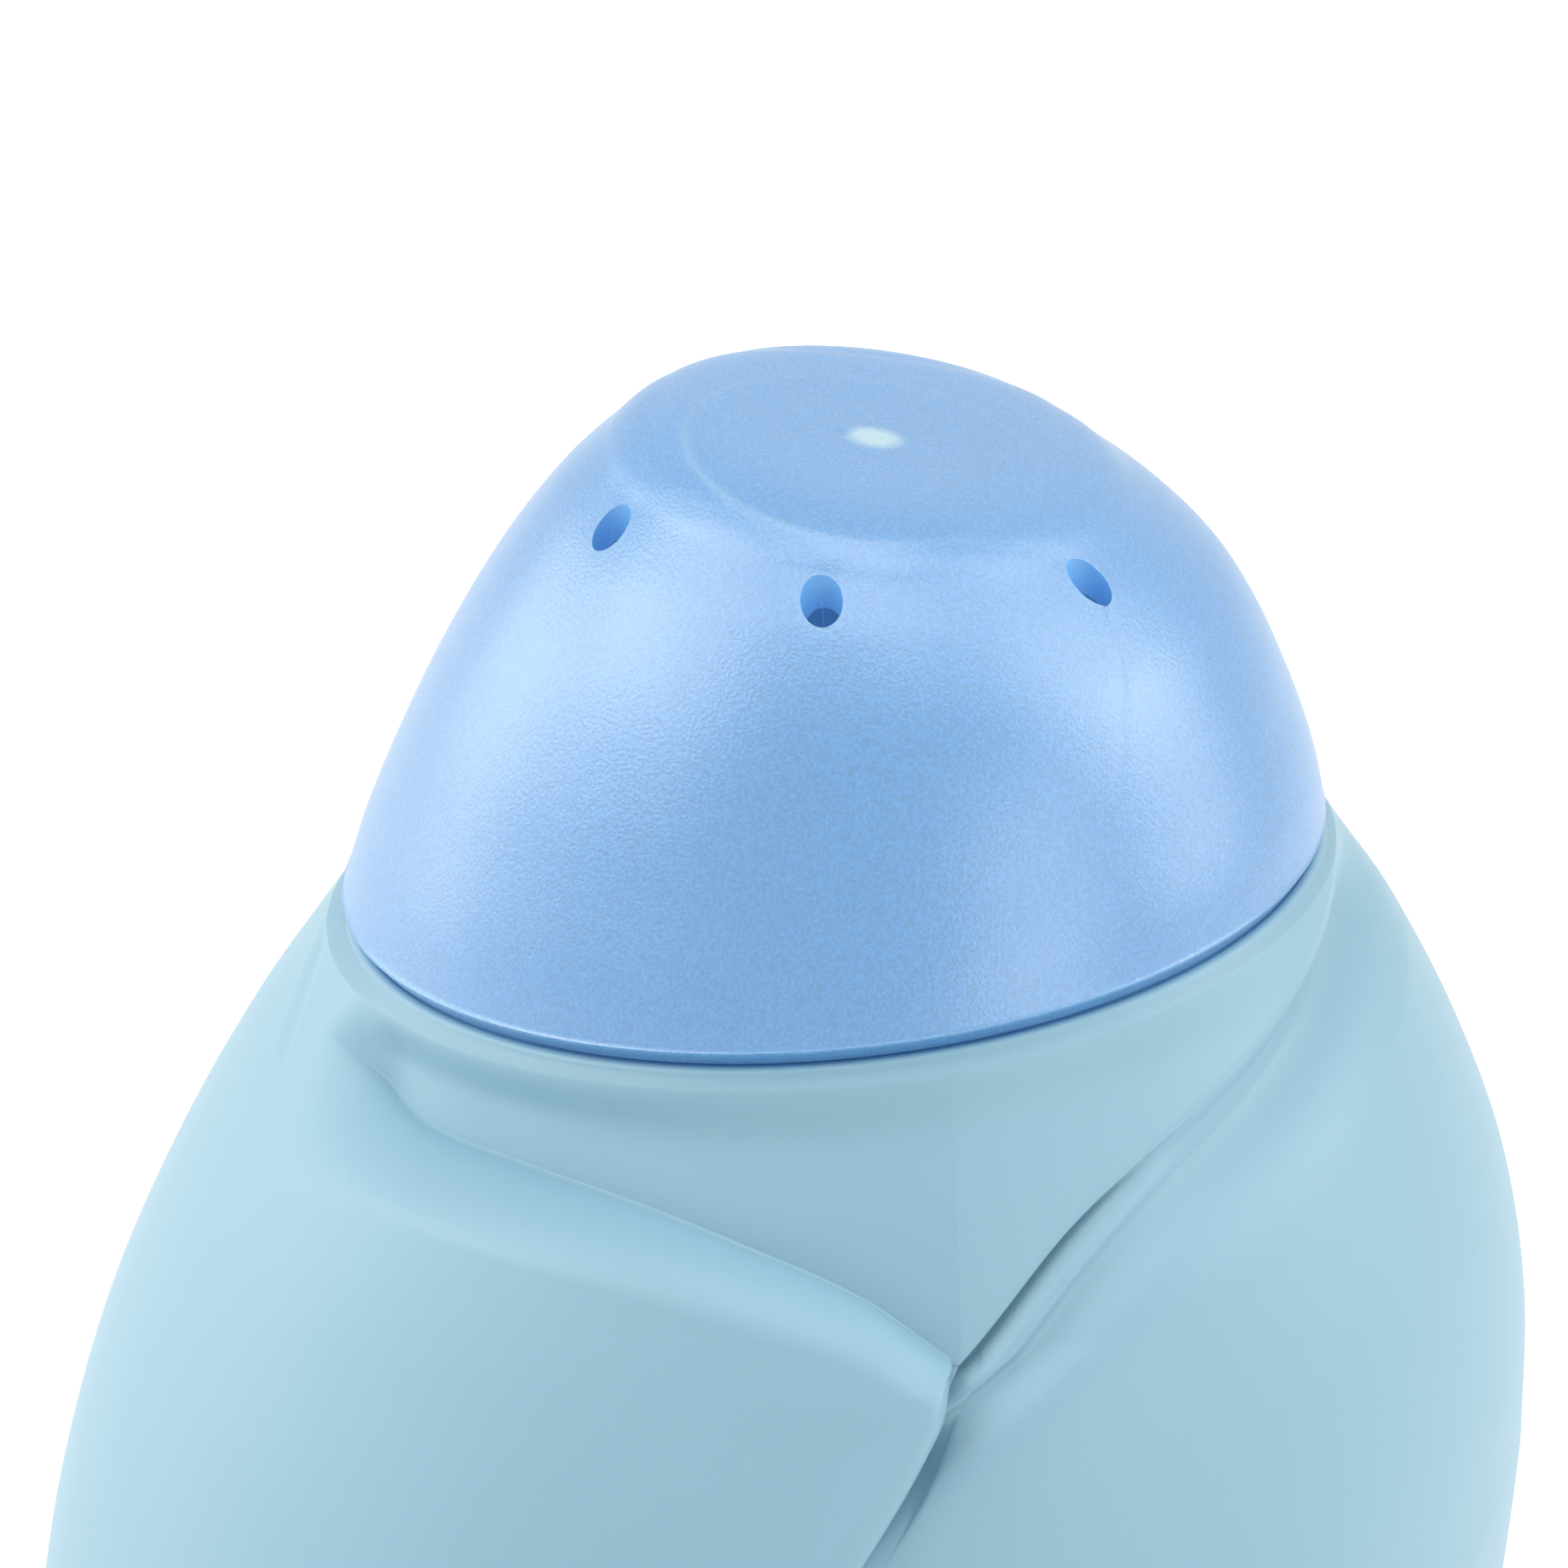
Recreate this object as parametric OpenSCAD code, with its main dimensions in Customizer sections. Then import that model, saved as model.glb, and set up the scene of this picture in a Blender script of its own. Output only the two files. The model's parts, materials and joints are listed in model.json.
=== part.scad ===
// Soft baby bottle: a squeezable silicone body with a swaddle-like wrap in
// relief, a rigid neck insert, a screw collar, a teat and a vented dome cap.
// The neck leans sideways, so the seam between cap and body is slanted while
// the foot and the top of the cap stay level.
// Origin: centre of the foot, on the surface that the bottle stands on. +Z is up.
// The collar, the teat and the cap all share the leaning neck axis.

/* [Body] */
// Height of the seam's centre above the foot
seam_h = 80; // [74:0.5:96]
// Diameter of the body at its widest ring
belly_d = 85.6; // [82:0.2:94]
// Height of the widest ring's centre
belly_h = 34.6; // [30:0.2:40]
// How far the widest ring leans sideways, in degrees
belly_lean = 16.5; // [8:0.5:18]
// Diameter of the flat foot
foot_d = 60; // [48:1:66]
// Thickness of the silicone wall
wall = 3.2; // [2.4:0.1:4]
// Thickness of the floor
floor_t = 4.5; // [3.5:0.1:6]
// Height of the hollow under the floor
foot_rise = 1.2; // [0.6:0.1:2]
// Width of the ring that the bottle stands on
foot_w = 5; // [3:0.5:8]

/* [Swaddle wrap] */
// How far the left flap stands proud
flap_h = 1.75; // [0.8:0.05:2.2]
// Radius of the flap's rounded upper edge
flap_round = 2.2; // [1.2:0.1:3]
// How far the right panel stands proud
panel_h = 0.8; // [0.4:0.1:1.2]
// Depth of the fold between the chest panel and the right panel
fold_depth = 1.1; // [0.6:0.1:1.3]
// Depth of the chest panel's pocket at its left end
pocket_depth = 1.7; // [1:0.1:2]
// Direction of the point of the V neckline, in degrees round the body
v_angle = -74.5; // [-100:0.5:-60]
// Depth of the V neckline below the band under the rim
v_drop = 12; // [8:0.1:14]
// Width of the plain band between the rim and the wrap
rim_band = 4.6; // [4:0.1:6]
// How far the flap's free edge swings back towards the foot, in degrees
hem_swing = 37; // [20:1:60]

/* [Neck] */
// How far the neck axis leans to the left, in degrees
neck_lean = 10.2; // [4:0.2:11]
// Bore of the mouth
mouth_d = 37; // [32:0.5:37.5]
// Wall of the neck insert
neck_t = 1.7; // [1.4:0.1:1.9]
// Height of the neck insert above the seam
neck_rise = 4.6; // [4:0.1:5]
// Depth of the neck insert below the seam
neck_depth = 9.2; // [8.6:0.1:11]
// How far the flange of the insert reaches into the silicone
flange_reach = 4.2; // [3:0.1:5]
// Thickness of the insert's flange
flange_t = 2.2; // [1.6:0.1:2.6]
// Depth of the insert's flange below the seam
flange_depth = 5.4; // [5:0.1:6]

/* [Rim] */
// Depth of the groove that the cap's skirt stands in
groove_depth = 2.8; // [2.5:0.1:3.2]
// Depth of the silicone rim's edge below the seam
rim_gap = 1.15; // [0.95:0.05:1.4]
// Width of the silicone rim beside the skirt
lip_w = 0.75; // [0.6:0.05:1]

/* [Collar] */
// Thickness of the collar's wall
collar_t = 2.8; // [2.4:0.1:3]
// Height of the collar above the seam
collar_rise = 7.7; // [7:0.1:8.4]
// Thickness of the collar's inward lip
collar_lip_t = 1.6; // [1.2:0.1:2]
// Diameter of the hole that the teat stands in
collar_hole_d = 30; // [26:0.5:31]
// Number of grip ribs on the collar
rib_count = 30; // [12:1:40]
// Height of the grip ribs
rib_h = 0.5; // [0.3:0.05:0.6]

/* [Teat] */
// Thickness of the teat's wall
teat_t = 1.6; // [1.2:0.1:2]
// Thickness of the teat's sealing flange
teat_flange_t = 1.3; // [1:0.1:1.6]
// Height of the teat's tip above the seam
teat_rise = 22.6; // [20:0.1:23]
// Diameter of the nipple at its bulb
nipple_d = 11.2; // [9:0.1:13]

/* [Cap] */
// Diameter of the cap's rim
cap_d = 57; // [56:0.2:61]
// Height of the cap's top above the centre of the seam
cap_rise = 26.5; // [25.8:0.1:30]
// Thickness of the cap's wall
cap_t = 1.5; // [1.2:0.1:1.8]
// How far the cap's edge overhangs its skirt
cap_step = 1.1; // [0.8:0.1:1.3]
// Height of the chamfer under the cap's edge
cap_chamfer = 0.85; // [0.5:0.05:0.9]
// Diameter of the vent holes
vent_d = 2.4; // [2:0.1:3]
// Distance of the vent holes from the cap's centre
vent_r = 16.6; // [15:0.1:17]

/* [Fit] */
// Clearance between parts that slide or turn on each other
slide_gap = 0.3; // [0.2:0.05:0.4]
// Clearance between a part and the seat that it rests on
seat_gap = 0.1; // [0.05:0.05:0.2]

/* [Hidden] */
$fn = 96;

// Columns of the body's skin and of the cap's skin
body_columns = 72;
cap_columns = 60;

// Radii of the neck stack, each from the part inside it
mouth_r = mouth_d / 2;
neck_r = mouth_r + neck_t;
thread_room = 1.2;
collar_bore_r = neck_r + thread_room;
collar_r = collar_bore_r + collar_t;
flange_r = neck_r + flange_reach;
cap_r = cap_d / 2;
skirt_r = cap_r - cap_step;
groove_r = skirt_r + slide_gap;
belly_r = belly_d / 2;
foot_r = foot_d / 2;
collar_hole_r = collar_hole_d / 2;
nipple_r = nipple_d / 2;

// Levels on the neck axis, measured up from the seam
teat_seat = neck_rise + seat_gap;
collar_under = collar_rise - collar_lip_t;
collar_foot = -groove_depth + slide_gap;
cap_foot = -groove_depth + slide_gap;

// The collar's snap bead, and the bead inside the cap that passes under it
bead_level = 1.6;
bead_h = 0.6;
snap_r = collar_r + bead_h + slide_gap;

// Slopes of the slanted rings: rise of a ring per unit of its radius
neck_slope = tan(neck_lean);
belly_slope = tan(belly_lean);

function mix(a, b, t) = a + (b - a) * t;
function limit(x) = max(0, min(1, x));
function ease(x) = let (t = limit(x)) t * t * (3 - 2 * t);

// Smooth curve through stations [x, y] in order of x
function slope_at(p, i) =
    let (a = max(i - 1, 0), b = min(i + 1, len(p) - 1))
    (p[b][1] - p[a][1]) / (p[b][0] - p[a][0]);
function span_of(p, x, i = 0) = i >= len(p) - 2 || x < p[i + 1][0] ? i : span_of(p, x, i + 1);
function curve(p, x) =
    let (
        i = span_of(p, x),
        w = p[i + 1][0] - p[i][0],
        t = limit((x - p[i][0]) / w),
        a = slope_at(p, i) * w,
        b = slope_at(p, i + 1) * w,
        rise = p[i + 1][1] - p[i][1]
    )
    p[i][1] + t * (a + t * ((3 * rise - 2 * a - b) + t * (a + b - 2 * rise)));

// A ring is [x of its centre, z of its centre, x radius, y radius, slope]
function ring_point(ring, turn) =
    [ring[0] + ring[2] * cos(turn), ring[3] * sin(turn), ring[1] + ring[2] * ring[4] * cos(turn)];

// Ring square to the neck axis, at a level above the seam
function neck_ring(level, r) = [
    -level * sin(neck_lean),
    seam_h + level * cos(neck_lean),
    r * cos(neck_lean),
    r,
    neck_slope
];

// Closed skin over rows of points: the first and last row close to a point
module skin(rows) {
    n = len(rows[0]);
    last = len(rows) - 1;
    points = [for (row = rows) each row, centre_of(rows[0]), centre_of(rows[last])];
    sides = [
        for (k = [0:last - 1], j = [0:n - 1])
            let (a = k * n + j, b = k * n + (j + 1) % n)
            each [[a, a + n, b], [b, a + n, b + n]]
    ];
    caps = [
        for (j = [0:n - 1])
            let (b = (j + 1) % n)
            each [[j, b, (last + 1) * n], [last * n + b, last * n + j, (last + 1) * n + 1]]
    ];
    polyhedron(points, concat(sides, caps), convexity = 6);
}
function sum(list, i = 0) = i == len(list) - 1 ? list[i] : list[i] + sum(list, i + 1);
function centre_of(row) = sum(row) / len(row);

// ---- Body -----------------------------------------------------------------

// Share of the way from the lip to the belly, and the share of the swelling there
body_form = [[0, 0], [0.084, 0.145], [0.208, 0.372], [0.374, 0.618], [0.562, 0.826], [0.771, 0.953], [1, 1]];
skin_top_r = groove_r + lip_w - 0.65;
foot_round = 2.3;
lean_growth = 1.7;

// Share of the way down from the seam to the belly, and from the belly to the foot
function down_to_belly(level) = limit((seam_h - level) / (seam_h - belly_h));
function down_to_foot(level) = limit((belly_h - level) / belly_h);

function body_r(level) = level > belly_h
    ? mix(skin_top_r, belly_r, curve(body_form, down_to_belly(level)))
    : mix(foot_r, belly_r, pow(1 - pow(down_to_foot(level), foot_round), 1 / foot_round));
function body_slope(level) = level > belly_h
    ? mix(neck_slope, belly_slope, pow(down_to_belly(level), lean_growth))
    : belly_slope * (1 - pow(down_to_foot(level), 2));
function body_depth(level) = mix(1 / cos(neck_lean), 1, down_to_belly(level));
function body_ring(level, out = 0) =
    let (r = body_r(level) + out)
    [0, level, r, r * body_depth(level), body_slope(level)];

// The V neckline's edge, as [degrees away from its point, share of its drop]
v_left = [
    [0, 1], [8.9, 0.66], [20.6, 0.42], [33.4, 0.25], [49.8, 0.13], [64.4, 0.12], [80, 0.03], [180, 0.03]
];
v_right = [
    [0, 1], [9.6, 0.59], [17.3, 0.39], [28.5, 0.22], [47, 0], [67, -0.18], [80, -0.2], [110, 0],
    [180, 0.03]
];
function v_level(turn) =
    let (away = turn - v_angle)
    seam_h - rim_band - v_drop * (away < 0 ? curve(v_left, -away) : curve(v_right, away));
v_point = v_level(v_angle);

// Columns lie closer together near the V, and swing back with the hem below it
function column_turn(j) =
    let (t = (j + 0.5) / body_columns - 0.5)
    v_angle + 360 * t * (0.5 + 2 * t * t);
function hem_shift(turn, level) =
    -hem_swing * sin(90 * limit((v_point - level) / v_point)) * (1 - ease(abs(turn - v_angle) / 110));

// How far each form reaches round from the V's point, as [start of its fade, end of its fade]
flap_fade = [35, 85];
panel_fade = [30, 120];
fold_fade = [66, 84];
pocket_end = [78, 69];
function fade(range, x) = 1 - ease((x - range[0]) / (range[1] - range[0]));
function quarter_round(x) = sqrt(1 - pow(1 - limit(x), 2));

// Height of the chest panel inside the V: it dips under the flap, most at its left end
chest_dip = 0.45;
chest_start = 1.5;
function chest_h(turn, level) =
    let (
        side = turn - v_angle,
        inward = ease((seam_h - level - chest_start) / rim_band),
        dip = side < 0
            ? mix(pocket_depth, chest_dip, fade(flap_fade, -side))
            : chest_dip * fade([0, 60], side)
    )
    -inward * dip * (1 - fade(pocket_end, max(-side, 0)));

// Height of the wrap below its edge: the flap on the left, the panel on the right.
// The panel falls into a fold beside the chest panel, and under the flap's free edge.
fold_w = 5.5;
function wrap_h(turn, level, below) =
    let (side = turn - v_angle, low = ease(level / (0.35 * v_point)), out = ease(below / fold_w))
    side < 0
        ? mix(chest_h(turn, level), low * flap_h * fade(flap_fade, -side), quarter_round(below / flap_round))
        : low * (out * panel_h * fade(panel_fade, side) * ease(side / 12) - valley(side, below));
function valley(side, below) =
    max(fold_depth * fade(fold_fade, side) * (1 - ease(below / fold_w)), 0.6 * (1 - ease(side / 9)));

// Rows of the outer skin: the plain band, the edge of the wrap, and the wrap
band_rows = 7;
edge_rows = [0.1, 0.35, 0.9, 1.7, 2.6, 4, 5.8];
wrap_rows = 26;
foot_bias = 0.7;
function band_level(turn, k) = mix(seam_h - rim_gap - 0.8, v_level(turn) + 0.1, k / (band_rows - 1));
function wrap_level(turn, k) =
    let (steps = len(edge_rows), t = (k - steps + 1) / (wrap_rows - steps))
    k < steps
        ? v_level(turn) - edge_rows[k]
        : (v_level(turn) - edge_rows[steps - 1]) * (1 - mix(pow(t, 1.15), sin(90 * t), foot_bias));
function band_row(k) = [
    for (j = [0:body_columns - 1])
        let (turn = column_turn(j), level = band_level(turn, k))
        ring_point(body_ring(level, chest_h(turn, level)), turn)
];
function wrap_row(k) = [
    for (j = [0:body_columns - 1])
        let (
            turn = column_turn(j),
            level = wrap_level(turn, k),
            out = wrap_h(turn, level, v_level(turn) - level)
        )
        ring_point(body_ring(level, out), turn + hem_shift(turn, level))
];
function plain_row(ring) = [for (j = [0:body_columns - 1]) ring_point(ring, column_turn(j))];

// Rings of the lip, the groove and the seat of the neck insert, from outside in
function lip_rings() = [
    neck_ring(-rim_gap - 0.3, groove_r + lip_w),
    neck_ring(-rim_gap - 0.05, groove_r + lip_w - 0.15),
    neck_ring(-rim_gap, groove_r + lip_w / 2),
    neck_ring(-rim_gap - 0.05, groove_r + 0.15),
    neck_ring(-rim_gap - 0.3, groove_r),
    neck_ring(-groove_depth, groove_r),
    neck_ring(-groove_depth, neck_r + slide_gap),
    neck_ring(-flange_depth + slide_gap, neck_r + slide_gap),
    neck_ring(-flange_depth + slide_gap, flange_r + slide_gap),
    neck_ring(-flange_depth - flange_t - slide_gap, flange_r + slide_gap),
    neck_ring(-flange_depth - flange_t - slide_gap, neck_r + slide_gap),
    neck_ring(-neck_depth - slide_gap, neck_r + slide_gap)
];

// Levels of the cavity's rings, from under the neck down to the floor
cavity_rows = 9;
cavity_top = seam_h - neck_depth - 3;
function cavity_level(k) =
    let (t = k / (cavity_rows - 1))
    mix(cavity_top, floor_t + foot_rise, 1 - pow(1 - t, 1.5));
function cavity_rings() = [
    for (k = [0:cavity_rows - 1])
        let (level = cavity_level(k), r = body_r(level) - wall * (k == cavity_rows - 1 ? 2.2 : 1))
        [0, level, r, r * body_depth(level), body_slope(level) * (k == cavity_rows - 1 ? 0 : 1)]
];

module bottle_body() {
    foot_rings = [
        [0, foot_rise, foot_r - foot_w - 1, foot_r - foot_w - 1, 0],
        [0, 0, foot_r - foot_w, foot_r - foot_w, 0]
    ];
    rows = concat(
        [for (ring = foot_rings) plain_row(ring)],
        [for (k = [wrap_rows - 1:-1:0]) wrap_row(k)],
        [for (k = [band_rows - 1:-1:0]) band_row(k)],
        [for (ring = lip_rings()) plain_row(ring)],
        [for (ring = cavity_rings()) plain_row(ring)]
    );
    color([0.66, 0.80, 0.87]) skin(rows);
}

// ---- Neck, collar and teat: turned round the leaning neck axis --------------

module on_neck() {
    translate([0, 0, seam_h]) rotate([0, -neck_lean, 0]) children();
}

module neck_insert() {
    edge = 0.4;
    color([0.92, 0.95, 0.97]) on_neck() rotate_extrude() polygon([
        [mouth_r, -neck_depth],
        [neck_r, -neck_depth],
        [neck_r, -flange_depth - flange_t],
        [flange_r, -flange_depth - flange_t],
        [flange_r, -flange_depth],
        [neck_r, -flange_depth],
        [neck_r, neck_rise - edge],
        [neck_r - edge, neck_rise],
        [mouth_r + edge, neck_rise],
        [mouth_r, neck_rise - edge]
    ]);
}

module collar() {
    waist_r = collar_r - 0.6;
    shoulder_r = collar_r - 1.5;
    color([0.95, 0.97, 0.98]) on_neck() {
        rotate_extrude() polygon([
            [collar_bore_r, collar_foot],
            [collar_r, collar_foot],
            [collar_r, bead_level - bead_h],
            [collar_r + bead_h, bead_level],
            [collar_r, bead_level + bead_h],
            [waist_r, collar_under - 2],
            [shoulder_r, collar_rise - 1.1],
            [shoulder_r - 0.8, collar_rise],
            [collar_hole_r, collar_rise],
            [collar_hole_r, collar_under],
            [collar_bore_r, collar_under]
        ]);
        collar_ribs();
    }
}

// Grip ribs round the collar above the bead
module collar_ribs() {
    rib_low = bead_level + bead_h + 0.2;
    rib_top = collar_under - 2.4;
    for (i = [0:rib_count - 1])
        rotate([0, 0, i * 360 / rib_count])
            translate([collar_r - 0.8, -0.5, rib_low])
                cube([0.8 + rib_h - 0.2, 1, rib_top - rib_low]);
}

// Outline of the teat's outside above its flange, as [radius, level]
nipple_len = 8;
neck_r_teat = collar_hole_r - slide_gap;
ridge_r = collar_hole_r + 0.9;
function teat_outline() = [
    [neck_r_teat, teat_seat + teat_flange_t],
    [neck_r_teat, collar_rise + seat_gap],
    [ridge_r, collar_rise + slide_gap],
    [ridge_r + 0.2, collar_rise + 1],
    for (t = [0.15:0.17:1])
        [mix(nipple_r + 0.3, ridge_r, pow(cos(90 * t), 1.25)),
         mix(collar_rise + 1, teat_rise - nipple_len, sin(90 * t))],
    [nipple_r - 0.5, teat_rise - 6.6],
    [nipple_r - 0.4, teat_rise - 5],
    [nipple_r, teat_rise - 3.4],
    for (t = [20:20:80])
        [nipple_r * cos(t), teat_rise - 3.4 + 3.4 * sin(t)],
    [0, teat_rise]
];
function teat_inside() = [
    [0, teat_rise - teat_t],
    [nipple_r - teat_t - 1.2, teat_rise - teat_t - 0.8],
    [nipple_r - teat_t, teat_rise - 3.8],
    [nipple_r - teat_t - 0.4, teat_rise - 7],
    for (t = [1:-0.2:0.2])
        [mix(nipple_r - teat_t, ridge_r - teat_t, pow(cos(90 * t), 1.25)),
         mix(collar_rise + 0.6, teat_rise - nipple_len - 0.8, sin(90 * t)) - teat_t],
    [neck_r_teat - teat_t, collar_rise - 1],
    [neck_r_teat - teat_t, teat_seat]
];

module teat() {
    flange_out = collar_bore_r - slide_gap;
    color([0.90, 0.94, 0.96]) on_neck() rotate_extrude() polygon(concat(
        [[flange_out, teat_seat], [flange_out, teat_seat + teat_flange_t]],
        teat_outline(),
        teat_inside()
    ));
}

// ---- Cap --------------------------------------------------------------------

// Share of the cap's height, and the share of the rim's radius there
cap_form = [
    [0, 1], [0.145, 0.966], [0.32, 0.907], [0.495, 0.836], [0.66, 0.75],
    [0.805, 0.644], [0.91, 0.541]
];
shoulder_form = cap_form[len(cap_form) - 1];
// Share of the cap's height, and the lean of its rings there
cap_lean = [[0, neck_lean], [0.33, 0.8 * neck_lean], [0.65, 0.5 * neck_lean], [1, -0.28 * neck_lean]];

function cap_ring(station, r, h) = [
    0,
    seam_h + station[0] * h,
    station[1] * r * cos(neck_lean),
    station[1] * r,
    tan(curve(cap_lean, station[0]))
];
function cap_row(ring) = [for (j = [0:cap_columns - 1]) ring_point(ring, 360 * j / cap_columns)];

// Stations of the cap's rings: the sides, then the rounded edge and the flat top
side_rings = 13;
top_flatness = 7.5;
top_shares = [0.97, 0.93, 0.88, 0.82, 0.74, 0.6, 0.3];
function cap_stations() = concat(
    [for (k = [1:side_rings]) let (t = shoulder_form[0] * k / side_rings) [t, curve(cap_form, t)]],
    [for (share = top_shares)
        [mix(1, shoulder_form[0], pow(share, top_flatness)), shoulder_form[1] * share]]
);

module cap_shell() {
    stations = cap_stations();
    inner_r = cap_r - cap_t;
    inner_h = cap_rise - cap_t;
    skin(concat(
        [for (k = [len(stations) - 1:-1:0]) cap_row(cap_ring(stations[k], inner_r, inner_h))],
        [
            cap_row(neck_ring(1, inner_r - 0.05)),
            cap_row(neck_ring(0.5, snap_r)),
            cap_row(neck_ring(cap_foot + 0.3, snap_r)),
            cap_row(neck_ring(cap_foot, snap_r + 0.3)),
            cap_row(neck_ring(cap_foot, skirt_r - 0.3)),
            cap_row(neck_ring(cap_foot + 0.3, skirt_r)),
            cap_row(neck_ring(-cap_chamfer, skirt_r)),
            cap_row(neck_ring(-0.05, cap_r - 0.1)),
            cap_row(neck_ring(0.1, cap_r))
        ],
        [for (station = stations) cap_row(cap_ring(station, cap_r, cap_rise))]
    ));
}

// Directions of the five vents, the ring's level, and the lean of each drill
vent_turns = [-149, -97, -39, 48, 137];
vent_level = 23.2;
vent_steep = 40;

module cap() {
    color([0.60, 0.76, 0.93, 0.75]) difference() {
        cap_shell();
        for (turn = vent_turns)
            translate([vent_r * cos(turn), vent_r * sin(turn), seam_h + vent_level - cap_t])
                rotate([0, 90 - vent_steep, turn])
                    cylinder(d = vent_d, h = 8 * cap_t, center = true, $fn = 24);
    }
}

bottle_body();
neck_insert();
collar();
teat();
cap();
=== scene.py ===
"""Dresses the soft baby bottle: silicone body, neck insert, collar, teat and frosted cap.

Lengths inside the shape classes are millimetres and turn into metres when a mesh is made.
Angles are degrees. Levels are heights of a slanted ring's centre above the foot.
"""
import json
import logging
import math
from dataclasses import dataclass
from enum import Enum
from typing import Any, Optional, Sequence

import bmesh
import bpy
import numpy as np
from mathutils import Matrix, Vector


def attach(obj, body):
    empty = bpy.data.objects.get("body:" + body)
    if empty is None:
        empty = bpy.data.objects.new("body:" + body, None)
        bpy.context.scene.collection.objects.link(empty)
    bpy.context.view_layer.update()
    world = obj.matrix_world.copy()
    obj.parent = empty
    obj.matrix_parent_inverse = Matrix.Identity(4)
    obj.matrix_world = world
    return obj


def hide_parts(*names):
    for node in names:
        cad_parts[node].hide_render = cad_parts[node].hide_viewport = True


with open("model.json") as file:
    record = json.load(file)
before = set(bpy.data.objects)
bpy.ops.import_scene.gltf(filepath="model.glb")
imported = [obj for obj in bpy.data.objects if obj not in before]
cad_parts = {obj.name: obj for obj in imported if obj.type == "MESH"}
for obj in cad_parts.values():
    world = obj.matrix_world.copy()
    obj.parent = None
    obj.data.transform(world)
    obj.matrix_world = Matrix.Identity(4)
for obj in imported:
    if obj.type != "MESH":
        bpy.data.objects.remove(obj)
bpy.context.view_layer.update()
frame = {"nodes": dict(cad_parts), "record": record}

MM = 0.001
FULL_TURN = 360.0
FAR = 50.0  # mm; further than any edge of the relief reaches
SAME_POINT = 1e-7  # metres; points closer than this are welded
CORNER_SHARE = 0.45  # the most that a rounded corner takes of each side

log = logging.getLogger("bottle")

Points = np.ndarray
Colour = tuple[float, float, float]
Pair = tuple[float, float]
Stations = tuple[Pair, ...]
Span = Pair  # where something starts, and over how long a way it comes or goes


# ---- Small helpers ---------------------------------------------------------------------------


def ease(x: Points) -> Points:
    """Rises smoothly from 0 to 1 as x goes from 0 to 1."""
    t = np.clip(x, 0.0, 1.0)
    return t * t * (3 - 2 * t)


def fade_in(x: Points, span: Span) -> Points:
    """Rises smoothly from 0 to 1 over a span."""
    start, width = span
    return ease((x - start) / width)


def fade_out(x: Points, span: Span) -> Points:
    """Falls smoothly from 1 to 0 over a span."""
    return 1 - fade_in(x, span)


def bell(x: Points, width: float) -> Points:
    """Gives 1 at x = 0 and falls off to both sides over about the width."""
    return np.exp(-((x / width) ** 2))


def mix(a: Points, b: Points, t: Points) -> Points:
    """Goes straight from a to b as t goes from 0 to 1."""
    return a + (b - a) * t


def cosd(turn: Points) -> Points:
    """Cosine of an angle in degrees."""
    return np.cos(np.radians(turn))


def sind(turn: Points) -> Points:
    """Sine of an angle in degrees."""
    return np.sin(np.radians(turn))


def curve_through(stations: Sequence[Pair], x: Points) -> Points:
    """Follows a smooth curve through stations.

    Args:
        stations: (x, y) pairs in order of x.
        x: Where to read the curve.

    Returns:
        The curve's y at each x.
    """
    p = np.array(stations, float)
    slopes = np.empty(len(p))
    for i in range(len(p)):
        a, b = max(i - 1, 0), min(i + 1, len(p) - 1)
        slopes[i] = (p[b, 1] - p[a, 1]) / (p[b, 0] - p[a, 0])
    x = np.asarray(x, float)
    i = np.clip(np.searchsorted(p[:, 0], x, side="right") - 1, 0, len(p) - 2)
    w = p[i + 1, 0] - p[i, 0]
    t = np.clip((x - p[i, 0]) / w, 0, 1)
    a, b, rise = slopes[i] * w, slopes[i + 1] * w, p[i + 1, 1] - p[i, 1]
    return p[i, 1] + t * (a + t * ((3 * rise - 2 * a - b) + t * (a + b - 2 * rise)))


def packed_steps(count: int, tightness: float) -> Points:
    """Steps from 0 to 1: a tightness of 1 spaces them evenly, and more packs them towards 0."""
    return np.linspace(0, 1, count) ** tightness


def how_many(count: int) -> int:
    return int(count * (1.0))


def turns_round(count: int) -> Points:
    """Directions of evenly spaced points round a full turn."""
    return np.arange(count) * FULL_TURN / count


# ---- Shader nodes ----------------------------------------------------------------------------


def fill_inputs(tree: bpy.types.NodeTree, node: bpy.types.Node, values: dict[Any, Any]) -> None:
    """Sets or links a shader node's inputs.

    Args:
        tree: The node tree.
        node: The node.
        values: What goes into each input: a number, a colour or another node's output.
    """
    for name, value in values.items():
        if isinstance(value, bpy.types.NodeSocket):
            tree.links.new(value, node.inputs[name])
        else:
            node.inputs[name].default_value = value


def add_node(
    tree: bpy.types.NodeTree, kind: str, values: Optional[dict[Any, Any]] = None, **settings: Any
) -> bpy.types.Node:
    """Adds a shader node.

    Args:
        tree: The node tree.
        kind: The node's type, without its usual beginning.
        values: What goes into its inputs.
        **settings: The node's own settings, such as its operation.

    Returns:
        The new node.
    """
    node = tree.nodes.new(f"ShaderNode{kind}")
    for name, value in settings.items():
        setattr(node, name, value)
    fill_inputs(tree, node, values or {})
    return node


def map_range(
    tree: bpy.types.NodeTree, value: bpy.types.NodeSocket, source: Pair, target: Pair
) -> bpy.types.NodeSocket:
    """Maps an output so that the two ends of the source range become the target's two ends."""
    ends = {"From Min": source[0], "From Max": source[1], "To Min": target[0], "To Max": target[1]}
    return add_node(tree, "MapRange", {"Value": value, **ends}).outputs["Result"]


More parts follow.
